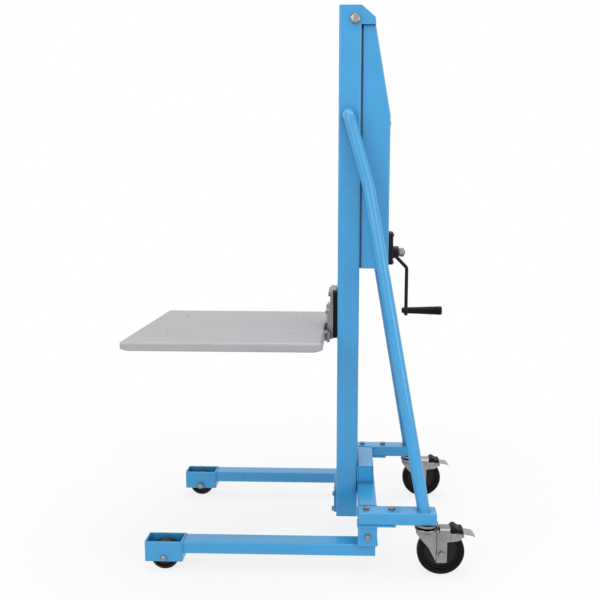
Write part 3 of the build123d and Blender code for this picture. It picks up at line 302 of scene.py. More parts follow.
def finish(name, colour, rough, metal=0.0, coat=0.0, drift=0.08, edge_wear_highlight_colour=None,
           edge_wear_highlight_share=0.3, radius=0.0008, scale=900.0, stretch=(1.0, 1.0, 1.0), strength=0.12,
           marks=0.4, swing=0.06, shine=0.5, corners=0.35):
    """A material whose colour, gloss and normal come from the shared groups."""
    material = bpy.data.materials.new(name)
    material.use_nodes = True
    tree = material.node_tree
    tree.nodes.clear()
    grain = put(
        tree, "ShaderNodeGroup", {"Scale": scale, "Stretch": stretch}, node_tree=grain_group,
    )
    edges = put(
        tree, "ShaderNodeGroup",
        {"Radius": radius, "Strength": strength, "Height": grain.outputs["Height"]},
        node_tree=edge_group,
    )
    worn = put(tree, "ShaderNodeGroup", {"Amount": marks}, node_tree=marks_group)
    # This group paints shade into the colour, as deep as corners says.
    corner = put(tree, "ShaderNodeGroup", {"Depth": corners}, node_tree=painted_shade_group)
    dark = [c * (1 - drift) for c in colour[:3]] + [1.0]
    light = [min(1.0, c * (1 + drift)) for c in colour[:3]] + [1.0]
    tone = mixed(tree, grain.outputs["Mask"], dark, light)
    # Edges get a lighter colour: partly worn paint or plating, partly a painted highlight.
    share = worked(tree, "MULTIPLY", edges.outputs["Edge"], edge_wear_highlight_share)
    edge_wear_highlight_tone = mixed(tree, share, tone, edge_wear_highlight_colour or light)
    shaded = put(
        tree, "ShaderNodeVectorMath",
        {0: edge_wear_highlight_tone, "Scale": corner.outputs["Factor"]}, operation="SCALE",
    )
    gloss = put(
        tree, "ShaderNodeMapRange",
        {"Value": grain.outputs["Mask"], "To Min": rough - swing, "To Max": rough + swing},
    ).outputs["Result"]
    dull = worked(tree, "ADD", gloss, worn.outputs["Marks"], use_clamp=True)
    shader = put(
        tree, "ShaderNodeBsdfPrincipled",
        {
            "Base Color": shaded.outputs[0], "Roughness": dull, "Metallic": metal,
            "Coat Weight": coat, "Coat Roughness": COAT_ROUGHNESS,
            "Specular IOR Level": shine, "Normal": edges.outputs["Normal"],
        },
    )
    put(tree, "ShaderNodeOutputMaterial", {"Surface": shader.outputs["BSDF"]})
    return material


# %% [markdown]
# ### The finishes of this trolley
# Frame, mast, cover and tubes share one sky-blue powder coat. The tray is satin grey, screws
# and castor forks are zinc plated, the carriage is plain rolled steel, and the winch housing
# and crank are black.

# %% Paint, metal, plastic and rubber
# Each edge colour is lighter than its finish, partly wear and partly a painted highlight; corners
# sets how deep the painted shade goes.
finishes = {
    "painted_blue": finish(
        "sky_blue_powder_coat", linear(52, 151, 206), 0.31, coat=0.34, drift=0.035,
        edge_wear_highlight_colour=linear(140, 202, 238), edge_wear_highlight_share=0.45, radius=0.0012, scale=1400.0,
        strength=0.1, marks=0.16, corners=0.55,
    ),
    "tray_grey": finish(
        "satin_grey_tray", linear(163, 163, 165), 0.5, metal=0.3, drift=0.06,
        edge_wear_highlight_colour=linear(236, 237, 240), edge_wear_highlight_share=0.8, radius=0.0016, scale=260.0,
        stretch=(1.0, 22.0, 1.0), strength=0.06, marks=0.18, corners=0.6,
    ),
    "bright_zinc": finish(
        "bright_zinc_plate", linear(150, 150, 151), 0.26, metal=0.8, drift=0.22,
        edge_wear_highlight_colour=linear(240, 240, 242), scale=500.0, strength=0.08, marks=0.2,
        radius=0.0006, corners=0.7,
    ),
    "carriage_steel": finish(
        "rolled_steel", linear(128, 129, 131), 0.36, metal=0.85, drift=0.16,
        edge_wear_highlight_colour=linear(215, 216, 218), scale=420.0, stretch=(1.0, 1.0, 9.0),
        strength=0.1, marks=0.25, corners=0.75,
    ),
    "black_steel": finish(
        "satin_black_coat", linear(9, 9, 10), 0.34, drift=0.2,
        edge_wear_highlight_colour=linear(52, 53, 56), edge_wear_highlight_share=0.35, scale=1600.0, strength=0.18,
        marks=0.2, shine=0.22,
    ),
    "black_plastic": finish(
        "moulded_black", linear(7, 7, 8), 0.46, drift=0.15, edge_wear_highlight_colour=linear(40, 41, 43),
        scale=2200.0, strength=0.2, marks=0.15, shine=0.15,
    ),
    "tyre_rubber": finish(
        "tyre_rubber", linear(9, 9, 9), 0.5, drift=0.2, edge_wear_highlight_colour=linear(34, 34, 36),
        scale=1500.0, strength=0.3, marks=0.2, swing=0.1, shine=0.12,
    ),
    "roller_nylon": finish(
        "dark_nylon", linear(22, 22, 24), 0.42, drift=0.12, edge_wear_highlight_colour=linear(60, 61, 63),
        scale=1100.0, marks=0.2, shine=0.25,
    ),
    "wire_rope": finish(
        "drawn_wire", linear(150, 151, 153), 0.34, metal=0.9, drift=0.25,
        edge_wear_highlight_colour=linear(190, 190, 192), strength=0.2, radius=0.0003,
    ),
}
for row in frame["record"]["subparts"]:
    node = frame["nodes"][row["node"]]
    node.data.materials.clear()
    node.data.materials.append(finishes[row["material_slot"]])
print("finishes:", len(finishes))

# %% [markdown]
# ## Tools for shapes that repeat
# Screws, strands and weld beads are the same small shape placed many times or along a path,
# and that is what Geometry Nodes are for. A tree gets named inputs, runs once on a sketch of
# points or lines, and its result is kept as a plain mesh that rides on its body.

# %% Meshes from rings
def mesh_from(name, points, faces):
    """A plain mesh from points in metres and faces, with its normals outward."""
    mesh = bpy.data.meshes.new(name)
    mesh.from_pydata([tuple(p) for p in points], [], faces)
    grid = bmesh.new()
    grid.from_mesh(mesh)
    bmesh.ops.remove_doubles(grid, verts=grid.verts, dist=1e-7)
    bmesh.ops.recalc_face_normals(grid, faces=grid.faces)
    grid.to_mesh(mesh)
    grid.free()
    return mesh


def bands(rows, count, closed=False):
    """The faces between rings of count points; closed also joins the last to the first."""
    faces = []
    for row in range(rows if closed else rows - 1):
        here, there = row * count, (row + 1) % rows * count
        for step in range(count):
            after = (step + 1) % count
            faces.append((here + step, here + after, there + after, there + step))
    return faces


def ringed(rings, steps=24):
    """A solid about Z from rings of (radius, height), each a number or one by the angle."""
    points = []
    for radius, height in rings:
        for step in range(steps):
            angle = 2 * math.pi * step / steps
            reach = radius(angle) if callable(radius) else radius
            rise = height(angle) if callable(height) else height
            x, y = reach * math.cos(angle), reach * math.sin(angle)
            points.append((x / 1000, y / 1000, rise / 1000))
    return points, bands(len(rings), steps)


def joined(*shapes):
    """Several (points, faces) put together as one."""
    points, faces = [], []
    for more_points, more_faces in shapes:
        faces += [tuple(i + len(points) for i in face) for face in more_faces]
        points += list(more_points)
    return points, faces


def one_mesh(name, meshes):
    """Several meshes put together as one."""
    grid = bmesh.new()
    for mesh in meshes:
        grid.from_mesh(mesh)
    whole = bpy.data.meshes.new(name)
    grid.to_mesh(whole)
    grid.free()
    return whole


# %% Finished pieces
def dressed(name, mesh, slot, smooth=None):
    """An object at the origin that shows a mesh in its finish, smooth up to an angle."""
    piece = in_scene(name, mesh)
    mesh.materials.clear()
    mesh.materials.append(finishes[slot])
    if smooth is not None:
        mesh.shade_smooth()
        mesh.set_sharp_from_angle(angle=math.radians(smooth))
    print(name, "has", len(mesh.polygons), "faces")
    return piece


def keep(name, mesh, body, slot, smooth=None, replaces=()):
    """A finished piece that rides on a body, and stands for the nodes that it replaces."""
    piece = dressed(name, mesh, slot, smooth)
    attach(piece, body)
    if replaces:
        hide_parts(*replaces)


# %% Geometry Nodes trees
def new_tree(name, inputs):
    """A Geometry Nodes tree with a geometry input and output and more named inputs."""
    tree = bpy.data.node_groups.new(name, "GeometryNodeTree")
    tree.interface.new_socket(name="Geometry", in_out="INPUT", socket_type="NodeSocketGeometry")
    for label, kind, value in inputs + [("Material", "NodeSocketMaterial", None)]:
        socket = tree.interface.new_socket(name=label, in_out="INPUT", socket_type=kind)
        if value is not None:
            socket.default_value = value
    tree.interface.new_socket(name="Geometry", in_out="OUTPUT", socket_type="NodeSocketGeometry")
    print("tree", name, "takes", [label for label, _, _ in inputs])
    return tree, tree.nodes.new("NodeGroupInput"), tree.nodes.new("NodeGroupOutput")


def close_tree(tree, sockets_in, sockets_out, geometry):
    """Every tree ends the same way: real geometry, and one material on all of it."""
    real = put(tree, "GeometryNodeRealizeInstances", {"Geometry": geometry})
    painted = put(
        tree, "GeometryNodeSetMaterial",
        {"Geometry": real.outputs["Geometry"], "Material": sockets_in.outputs["Material"]},
    )
    tree.links.new(painted.outputs["Geometry"], sockets_out.inputs["Geometry"])


def grown(tree, sketch, slot, piece=None):
    """The plain mesh that a tree makes of a sketch, in a finish and at the tree's sizes."""
    source = in_scene("sketch", sketch)
    modifier = source.modifiers.new("grow", "NODES")
    modifier.node_group = tree
    given = {"Material": finishes[slot], "Piece": piece}
    for item in tree.interface.items_tree:
        if item.in_out == "INPUT" and item.name != "Geometry":
            value = given[item.name] if item.name in given else item.default_value
            modifier[item.identifier] = value
    evaluated = source.evaluated_get(bpy.context.evaluated_depsgraph_get())
    mesh = bpy.data.meshes.new_from_object(evaluated)
    bpy.data.objects.remove(source)
    return mesh


# %% [markdown]
# ## Hex bolts
# The legs, posts and mast are held by hex bolts, so that the trolley can be taken apart. A
# real head is not a plain prism: its corners are turned off at nearly thirty degrees, and a
# washer lies under it. One bolt of each size is modelled, and Geometry Nodes put it at each
# point of a sketch, aimed along the point's own direction.

# %% One bolt, with its washer, thread and nut
CHAMFER = math.radians(28)
FACE_SHARE, WASHER_SHARE = 0.47, 0.62
THREADS, THREAD_DEEP = 4, 0.6
TIP_LONG, TIP_DEEP = 1.0, 0.8
HIDDEN = 0.2


def hexagon_radius(flats):
    """How far a hexagon with this width over its flats reaches, by the angle."""
    def reach(angle):
        part = (angle + math.pi / 6) % (math.pi / 3) - math.pi / 6
        return flats / 2 / math.cos(part)
    return reach


def hex_rings(flats, low, high, chamfer_low=False):
    """Rings of a hexagonal head or nut whose corners are turned off at its ends."""
    face = FACE_SHARE * flats
    across = hexagon_radius(flats)

    def cut(angle):
        return (across(angle) - face) * math.tan(CHAMFER)

    foot = (lambda angle: low + cut(angle)) if chamfer_low else low
    top = (across, lambda angle: high - cut(angle))
    return [(0, low), (face, low), (across, foot), top, (face, high), (0, high)]


def bolt_shape(thick, grip, flats, head, nut, washer=1.6):
    """A hex bolt that stands on the origin, head up, with its shank down through the grip."""
    rim = WASHER_SHARE * flats
    parts = [
        ringed([(0, 0), (rim, 0), (rim, washer), (0, washer)]),
        ringed(hex_rings(flats, washer, washer + head)),
    ]
    shank = [(0, HIDDEN), (thick / 2, HIDDEN)]
    tip = -grip
    if nut:
        parts.append(ringed(hex_rings(flats, -grip - nut, -grip, chamfer_low=True)))
        tip = -grip - nut - thick / 4
        start = -grip - nut + TIP_LONG
        pitch = (start - tip - TIP_LONG) / THREADS
        for thread in range(THREADS):
            shank.append((thick / 2, start - thread * pitch))
            shank.append((thick / 2 - THREAD_DEEP, start - (thread + 0.5) * pitch))
    shank += [(thick / 2, tip + TIP_LONG), (thick / 2 - TIP_DEEP, tip), (0, tip)]
    return joined(*parts, ringed(shank))


# %% The tree that puts a piece on each point
place_tree, p_in, p_out = new_tree(
    "place_on_points",
    [("Piece", "NodeSocketObject", None), ("Size", "NodeSocketFloat", 1.0)],
)
piece_info = put(place_tree, "GeometryNodeObjectInfo", {"Object": p_in.outputs["Piece"]})
aim, spin = (
    put(place_tree, "GeometryNodeInputNamedAttribute", {"Name": name}, data_type=kind)
    for name, kind in (("aim", "FLOAT_VECTOR"), ("spin", "FLOAT"))
)
aimed = put(
    place_tree, "FunctionNodeAlignRotationToVector",
    {"Vector": aim.outputs["Attribute"]}, axis="Z",
)
spun = put(
    place_tree, "FunctionNodeAxisAngleToRotation",
    {"Axis": (0, 0, 1), "Angle": spin.outputs["Attribute"]},
)
both = put(
    place_tree, "FunctionNodeRotateRotation",
    {"Rotation": aimed.outputs["Rotation"], "Rotate By": spun.outputs["Rotation"]},
    rotation_space="LOCAL",
)
set_down = put(
    place_tree, "GeometryNodeInstanceOnPoints",
    {
        "Points": p_in.outputs["Geometry"], "Instance": piece_info.outputs["Geometry"],
        "Rotation": both.outputs["Rotation"], "Scale": p_in.outputs["Size"],
    },
)
close_tree(place_tree, p_in, p_out, set_down.outputs["Instances"])


def placed(shape, spots):
    """The zinc shape at each (place, direction, turn) of the spots, as one plain mesh."""
    sample = in_scene("sample", mesh_from("sample", *shape))
    sketch = bpy.data.meshes.new("spots")
    sketch.from_pydata([tuple(place) for place, _, _ in spots], [], [])
    sketch.attributes.new("aim", "FLOAT_VECTOR", "POINT")
    sketch.attributes.new("spin", "FLOAT", "POINT")
    for index, (_, direction, turned_by) in enumerate(spots):
        sketch.attributes["aim"].data[index].vector = direction
        sketch.attributes["spin"].data[index].value = turned_by
    mesh = grown(place_tree, sketch, "bright_zinc", sample)
    bpy.data.objects.remove(sample)
    return mesh


def fastened(name, body, replaced, smooth, *groups):
    """One zinc piece from groups of (shape, spots), in place of a node."""
    mesh = one_mesh(name, [placed(shape, spots) for shape, spots in groups])
    keep(name, mesh, body, "bright_zinc", smooth, [replaced])


# %% The bolts of the base, the mast and the stop plate
RAIL_Y, RAIL_TOP = 255.0, 173.0
POST_X = 25.0
BEAM_Z = 156.5
sides = tuple(SIDES.values())
rail_spots = [(at(x, side * RAIL_Y, RAIL_TOP), Z, 0.3 * x) for x in (21, 88) for side in sides]
post_spots = [(at(POST_X, side * 280, 108.5), Y * side, 0.4) for side in sides]
mast_spots = [(at(-4, side * 25, BEAM_Z), -X, 0.2) for side in sides]
stop_spots = [(at(-67, side * 53.5, 84), -X, 0.5 * side) for side in sides]
fastened(
    "base_hex_bolts", "root", "base_bolts", 30,
    (bolt_shape(thick=10, grip=38, flats=14, head=5.5, nut=5), rail_spots),
    (bolt_shape(thick=10, grip=50, flats=13, head=4.4, nut=5), post_spots),
    (bolt_shape(thick=10, grip=50.6, flats=17, head=5.5, nut=0), mast_spots),
    (bolt_shape(thick=8, grip=11, flats=13, head=5.0, nut=6), stop_spots),
)

# %% The pulley's axle bolt, and the bolts of the carriage
axle_spot = (at(PULLEY_X, -75, PULLEY_Z), -Y, 0.25)
axle_bolt = bolt_shape(thick=12, grip=150, flats=22, head=6.4, nut=8.4)
fastened("head_axle_bolt", "root", "pulley_axle", 30, (axle_bolt, [axle_spot]))
low_spots = [(at(-88.5, side * 50, z), -X, 0.01 * z) for z in (599, 666) for side in sides]
top_spots = [(at(-80.5, side * 50, 716), -X, 0.2 * side) for side in sides]
fastened(
    "carriage_hex_bolts", "carriage", "carriage_bolts", 30,
    (bolt_shape(thick=8, grip=22, flats=13, head=3.9, nut=0), low_spots),
    (bolt_shape(thick=8, grip=14, flats=13, head=3.9, nut=0), top_spots),
)

# %% [markdown]
# ## Countersunk screws of the tray
# A tray that boxes slide on has no standing heads. Its two screws lie flush, with a hexagonal
# socket sunk in a flat head. The front rollers' axles end in smooth domes instead, so that
# nothing catches on them.

# %% A countersunk screw with a socket
def flush_screw(thick, wide, socket, long):
    """A screw that hangs from the origin, with its flat head level with it."""
    key = hexagon_radius(socket)
    sink = (wide - thick) / 2
    well = [(0, -3.2), (key, -2.8), (key, -0.1), (0.62 * socket, 0)]
    head = [(wide / 2 - 0.3, 0), (wide / 2, -0.3), (thick / 2, -sink)]
    return ringed(well + head + [(thick / 2, -long), (0, -long)])


tray_spots = [(at(-108.5, side * 80, 617), Z, 0.3) for side in sides]
tray_screw = flush_screw(thick=8, wide=15, socket=5, long=15)
fastened("tray_flush_screws", "carriage", "platform_bolts", 35, (tray_screw, tray_spots))

# %% The domed axles of the front rollers
AXLE_R, AXLE_LONG = 5, 60.4
dome = [(0, 6.0), (2.4, 5.8), (4.8, 5.1), (6.8, 3.8), (7.8, 2.2), (8, 0.2), (8, 0)]
axle_parts = joined(
    ringed(dome + [(AXLE_R, 0), (AXLE_R, -AXLE_LONG), (0, -AXLE_LONG)]),
    ringed(hex_rings(16, -66.0, -56.2, chamfer_low=True)),
    ringed([(0, -67.6), (4.4, -67.6), (AXLE_R, -67), (AXLE_R, -60), (0, -60)]),
)
axle_spots = [(at(-513, side * 273.2, 37.5), Y * side, 0.3) for side in sides]
fastened("roller_dome_axles", "root", "roller_axles", 35, (axle_parts, axle_spots))

# %% [markdown]
# ## Wire rope
# Lifting rope is six strands laid round a core. A smooth grey bar never looks like it: light
# catches each strand as it turns. The tree copies the path once for each strand, turns each
# copy round the path as it goes along, and sweeps a small circle on it.

# %% What the rope and the weld share
def even_curve(tree, sketch, step):
    """A sketch's lines as a curve with its points at even steps."""
    curve = put(tree, "GeometryNodeMeshToCurve", {"Mesh": sketch})
    feeds = {"Curve": curve.outputs["Curve"], "Length": step}
    return put(tree, "GeometryNodeResampleCurve", feeds, mode="LENGTH").outputs["Curve"]


def turns_along(tree, pitch):
    """How many turns of this pitch a point has passed along its curve."""
    along = put(tree, "GeometryNodeSplineParameter")
    return worked(tree, "DIVIDE", along.outputs["Length"], pitch)


def swept(tree, curve, resolution, radius, **more):
    """A round bar along a curve, closed at its ends."""
    sizes = {"Resolution": resolution, "Radius": radius}
    profile = put(tree, "GeometryNodeCurvePrimitiveCircle", sizes).outputs["Curve"]
    feeds = {"Curve": curve, "Profile Curve": profile, "Fill Caps": True, **more}
    return put(tree, "GeometryNodeCurveToMesh", feeds).outputs["Mesh"]


def line_mesh(*paths):
    """A sketch of paths, each a list of places, closed if it ends where it starts."""
    points, edges = [], []
    for path in paths:
        first = len(points)
        ring = (path[0] - path[-1]).length < 1e-6
        own = path[:-1] if ring else path
        points += [tuple(p) for p in own]
        edges += [(first + i, first + i + 1) for i in range(len(own) - 1)]
        if ring:
            edges.append((first + len(own) - 1, first))
    mesh = bpy.data.meshes.new("path")
    mesh.from_pydata(points, edges, [])
    return mesh


# %% The rope tree
LAID_AT, STRAND_SHARE, CORE_SHARE = 0.64, 0.345, 0.5
rope_tree, r_in, r_out = new_tree(
    "laid_rope",
    [
        ("Rope Radius", "NodeSocketFloat", 0.0025),
        ("Strands", "NodeSocketInt", 6),
        ("Lay Length", "NodeSocketFloat", 0.032),
        ("Step", "NodeSocketFloat", 0.0026),
    ],
)
rope_radius, strands = r_in.outputs["Rope Radius"], r_in.outputs["Strands"]
even = even_curve(rope_tree, r_in.outputs["Geometry"], r_in.outputs["Step"])
copies = put(
    rope_tree, "GeometryNodeDuplicateElements",
    {"Geometry": even, "Amount": strands}, domain="SPLINE",
)
lay_turns = turns_along(rope_tree, r_in.outputs["Lay Length"])
strand_share = worked(rope_tree, "DIVIDE", copies.outputs["Duplicate Index"], strands)
total = worked(rope_tree, "ADD", lay_turns, strand_share)
aside = put(
    rope_tree, "ShaderNodeVectorRotate",
    {
        "Vector": put(rope_tree, "GeometryNodeInputNormal").outputs["Normal"],
        "Axis": put(rope_tree, "GeometryNodeInputTangent").outputs["Tangent"],
        "Angle": worked(rope_tree, "MULTIPLY", total, 2 * math.pi),
    },
    rotation_type="AXIS_ANGLE",
)
offset = put(
    rope_tree, "ShaderNodeVectorMath",
    {0: aside.outputs[0], "Scale": worked(rope_tree, "MULTIPLY", rope_radius, LAID_AT)},
    operation="SCALE",
)
laid = put(
    rope_tree, "GeometryNodeSetPosition",
    {"Geometry": copies.outputs["Geometry"], "Offset": offset.outputs[0]},
).outputs["Geometry"]
strand_radius = worked(rope_tree, "MULTIPLY", rope_radius, STRAND_SHARE)
core_radius = worked(rope_tree, "MULTIPLY", rope_radius, CORE_SHARE)
whole_rope = put(rope_tree, "GeometryNodeJoinGeometry")
rope_tree.links.new(swept(rope_tree, laid, 7, strand_radius), whole_rope.inputs["Geometry"])
rope_tree.links.new(swept(rope_tree, even, 8, core_radius), whole_rope.inputs["Geometry"])
close_tree(rope_tree, r_in, r_out, whole_rope.outputs["Geometry"])

# %% The rope over the pulley and on the drum
PITCH_R, BOW_STEPS = 27.5, 24
DRUM_Z = 860
COIL_R, COIL_PITCH, COIL_START = 24.55, 5.05, 22.0
COIL_TURNS, TURN_STEPS = 7, 28
over = [math.pi * i / BOW_STEPS for i in range(BOW_STEPS + 1)]
bow = [at(PULLEY_X + PITCH_R * math.cos(a), 0, PULLEY_Z + PITCH_R * math.sin(a)) for a in over]
back_path = line_mesh([at(27.0, 29.85, DRUM_Z)] + bow)
back_mesh = grown(rope_tree, back_path, "wire_rope")
keep("rope_up_and_over", back_mesh, "root", "wire_rope", 80, ["rope_back_run"])
coil_path = []
for i in range(COIL_TURNS * TURN_STEPS + 1):
    angle = 2 * math.pi * i / TURN_STEPS
    y, z = COIL_R * math.cos(angle), DRUM_Z + COIL_R * math.sin(angle)
    coil_path.append(at(COIL_START + COIL_PITCH * i / TURN_STEPS, y, z))
coil_mesh = grown(rope_tree, line_mesh(coil_path), "wire_rope")
keep("rope_on_drum", coil_mesh, "drum", "wire_rope", 80, ["rope_coils"])

# %% [markdown]
# ### The run that changes its length
# Between the head pulley and the carriage the rope gets shorter as the tray rises. The piece
# is built where it hangs now, with its place baked into its points, and rides on no body.

# %% The front run, from the head pulley down to the carriage
ANCHOR_Z = 738
run_top = at(PULLEY_X - PITCH_R, 0, PULLEY_Z)
run_foot = at(PULLEY_X - PITCH_R, 0, ANCHOR_Z)
front_mesh = grown(rope_tree, line_mesh([run_top, run_foot]), "wire_rope")
front_run = dressed("rope_to_carriage", front_mesh, "wire_rope", 180)
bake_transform(front_run)
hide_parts("rope_front_run")

# %% [markdown]
# ## Weld beads
# The frame is welded tube. Under the paint each joint has a raised, rippled bead, one ripple
# for each dip of the wire. The tree follows a path at the joint with a bar whose radius
# swells and shrinks along it, so that it reads as a weld and not as a bent wire.

# %% The weld tree
BEAD_STEP, NOISE_SCALE, LEAST_SWELL = 0.0011, 60.0, 0.92
weld_tree, w_in, w_out = new_tree(
    "weld_bead",
    [
        ("Bead Radius", "NodeSocketFloat", 0.0022),
        ("Ripple Pitch", "NodeSocketFloat", 0.0042),
        ("Ripple", "NodeSocketFloat", 0.16),
        ("Seed", "NodeSocketFloat", 3.0),
    ],
)
bead_curve = even_curve(weld_tree, w_in.outputs["Geometry"], BEAD_STEP)
ripples = turns_along(weld_tree, w_in.outputs["Ripple Pitch"])
wave = worked(weld_tree, "SINE", worked(weld_tree, "MULTIPLY", ripples, 2 * math.pi))
here = put(weld_tree, "GeometryNodeInputPosition").outputs[0]
noise = put(
    weld_tree, "ShaderNodeTexNoise",
    {"Vector": here, "Scale": NOISE_SCALE, "W": w_in.outputs["Seed"]}, noise_dimensions="4D",
)
uneven = worked(weld_tree, "ADD", wave, noise.outputs["Fac"])
swell = worked(weld_tree, "MULTIPLY_ADD", uneven, w_in.outputs["Ripple"], LEAST_SWELL)
bead_radius = worked(weld_tree, "MULTIPLY", swell, w_in.outputs["Bead Radius"])
bead = swept(weld_tree, bead_curve, 8, 1.0, Scale=bead_radius)
close_tree(weld_tree, w_in, w_out, bead)


# %% Paths round tubes
def loop(centre, across, up, half_a, half_b, corner=4.0, steps=5):
    """A closed path round a rounded rectangle that lies across two directions."""
    path = []
    for quarter, (sign_a, sign_b) in enumerate(((1, 1), (-1, 1), (-1, -1), (1, -1))):
        for step in range(steps):
            angle = math.pi / 2 * (quarter + step / (steps - 1))
            a = sign_a * (half_a - corner) + corner * math.cos(angle)
            b = sign_b * (half_b - corner) + corner * math.sin(angle)
            path.append(centre + (across * a + up * b) / 1000)
    return path + [path[0]]


def round_path(centre, across, up, reach, steps=32):
    """A closed path round a tube, as far out as reach says for each direction."""
    path = []
    for step in range(steps):
        angle = 2 * math.pi * step / steps
        out = across * math.cos(angle) + up * math.sin(angle)
        path.append(centre + out * reach(out) / 1000)
    return path + [path[0]]


# %% The joints of the frame
WIDE, FLAT = 25.2, 16.7
PUSH_R = 16.8
PUSH_FOOT, PUSH_BEND = Vector((172.0, 255.0, 173.0)), Vector((22.0, 112.0, 1012.0))
seams = []
for side in sides:
    lean = ((PUSH_BEND - PUSH_FOOT) * Vector((1, side, 1))).normalized()
    seams += [
        loop(at(-462.4, side * 245, 65.5), Y, Z, WIDE, FLAT),
        loop(at(POST_X, side * 252, 82.4), X, Y, WIDE, 24.0),
        loop(at(POST_X, side * RAIL_Y, 134.6), X, Y, WIDE, WIDE),
        loop(at(POST_X, side * 230, BEAM_Z), X, Z, WIDE, FLAT),
        round_path(
            at(172, side * RAIL_Y, RAIL_TOP + 0.4), X, Y,
            lambda out: PUSH_R / math.sqrt(1 - out.dot(lean) ** 2),
        ),
        round_path(at(-33, side * 75.4, 1203), X, Z, lambda out: PUSH_R),
        [at(0.6, side * 76.6, z) for z in range(175, 223, 3)],
    ]
seams.append([at(45.6, y, 174.2) for y in range(-77, 78, 7)])
weld_mesh = grown(weld_tree, line_mesh(*seams), "painted_blue")
keep("weld_beads", weld_mesh, "root", "painted_blue", 60)

# %% The end plates of the box behind the mast
PLATE_CORNER, PLATE_THICK = 3.0, 3.0


def rounded_plate(centre, across, up, out, half_a, half_b):
    """A flat plate with rounded corners, from its outer face inward."""
    rim = loop(centre, across, up, half_a, half_b, PLATE_CORNER)[:-1]
    points = rim + [point - out * PLATE_THICK / 1000 for point in rim]
    count = len(rim)
    return points, bands(2, count) + [tuple(range(count)), tuple(range(count, 2 * count))]


ends = [rounded_plate(at(23, side * 77.8, 198.5), X, Z, Y * side, 19.2, 21.7) for side in sides]
keep("box_end_plates", mesh_from("ends", *joined(*ends)), "root", "painted_blue")

# %% [markdown]
# ## Turned and moulded pieces
# The crank's grip and the castor tyres are round, so each is one profile turned about its
# axis. The profile carries what the hand or the eye looks for: grooves near the end of the
# grip, a crowned tread, and a thin step where tyre meets rim. The crank's nut is built of
# rings, as the bolts are.

# %% Turning a profile about any axis
def turned(profile, centre, axis, steps=48, ring=False):
    """A mesh from a (along, radius) profile in millimetres, turned about an axis."""
    side = axis.orthogonal().normalized()
    other = axis.cross(side)
    points = []
    for along, radius in profile:
        for step in range(steps):
            angle = 2 * math.pi * step / steps
            out = side * math.cos(angle) + other * math.sin(angle)
            points.append(centre + (axis * along + out * radius) / 1000)
    return mesh_from("turned", points, bands(len(profile), steps, closed=ring))


# %% The grip of the crank
BORE, NECK, SWELL, SWELL_STEPS = 5.2, 9.25, 2.55, 8
RIBS, RIB_PITCH, RIB_START, RIB_R = 4, 4.0, 71.0, 11.8
GROOVE = 1.3
grip_profile = [(0, BORE), (0, 8.6), (0.7, NECK)]
for step in range(1, SWELL_STEPS + 1):
    share = step / SWELL_STEPS
    grip_profile.append((0.7 + share * 69.3, NECK + SWELL * share ** 1.25))
for rib in range(RIBS):
    start, full = RIB_START + RIB_PITCH * rib, RIB_R + 0.22 * rib
    grip_profile += [(start, full), (start + 0.4, full - GROOVE)]
    grip_profile += [(start + 1.2, full - GROOVE), (start + 1.6, full)]
grip_profile += [(88.6, 12.65), (92.0, 12.6), (94.6, 11.6), (95.8, 9.4), (96.0, BORE), (90.4, 5.15)]
grip_mesh = turned(grip_profile, at(142.8, 0, 663), X, ring=True)
keep("ribbed_grip", grip_mesh, "grip", "black_plastic", 35, ["crank_grip"])

# %% The nut on the crank shaft
CRANK_Z = 830
nut_parts = joined(
    ringed([(0, 0), (12, 0), (12, 1.6), (11.4, 2), (0, 2)]),
    ringed(hex_rings(22, 2, 15.5, chamfer_low=True)),
)
nut_spot = (at(112, 0, CRANK_Z), X, 0.26)
fastened("crank_hex_nut", "crank", "crank_nut", 30, (nut_parts, [nut_spot]))

# %% The tyres of the castors
WHEEL_X, WHEEL_Z = 218, 62.5
half_tyre = [(16, 46.05), (16, 49.5), (15.2, 50.2), (15.2, 55.6)]
half_tyre += [(14.2, 58.6), (12.0, 60.9), (8.5, 62.2), (3.0, 62.48)]
tyre_profile = [(-along, radius) for along, radius in half_tyre] + half_tyre[::-1]
for name, side in SIDES.items():
    tyre = turned(tyre_profile, at(WHEEL_X, side * RAIL_Y, WHEEL_Z), Y, steps=96, ring=True)
    keep("tyre_" + name, tyre, "wheel_" + name, "tyre_rubber", 32, ["castor_tyre_" + name])

# %% [markdown]
# ## The castor forks
# A castor fork is pressed from one sheet. Its flanks bulge round the ball race, fold sharply
# and run on as two flat plates, which carry the wheel's axle and reach back to the brake.
# Each part is lofted: a closed outline of sheet stands at each place along the fork, and
# neighbouring outlines are joined. The race above it stays with the rail and does not turn.

# %% Lofting a sheet from outlines
SWIVEL_X = 180.0


def loft(sections):
    """A closed skin over outlines with the same number of points, capped at both ends."""
    count = len(sections[0])
    points = [point for section in sections for point in section]
    caps = [tuple(range(count)), tuple(range(len(points) - count, len(points)))]
    return points, bands(len(sections), count) + caps


def between(value, table):
    """Straight-line reading of a table of (place, result)."""
    for (x0, y0), (x1, y1) in zip(table, table[1:]):
        if x0 <= value <= x1:
            return y0 + (y1 - y0) * (value - x0) / (x1 - x0)
    return table[0][1] if value < table[0][0] else table[-1][1]


def stand(x, side, outline, y_side=1):
    """An outline of (across, height) stood up at a place along a castor."""
    return [at(SWIVEL_X + x, side * RAIL_Y + y_side * y, z) for y, z in outline]


def folded(wide, high, bend, steps):
    """The quarter circle that joins a side wall to a top."""
    angles = [math.pi / 2 * step / steps for step in range(steps + 1)]
    y, z = wide - bend, high - bend
    return [(y + bend * math.cos(a), z + bend * math.sin(a)) for a in angles]


def mirrored(half):
    """An outline from its half on one side, where a point on the middle counts once."""
    return half + [(-y, z) for y, z in reversed(half) if y]


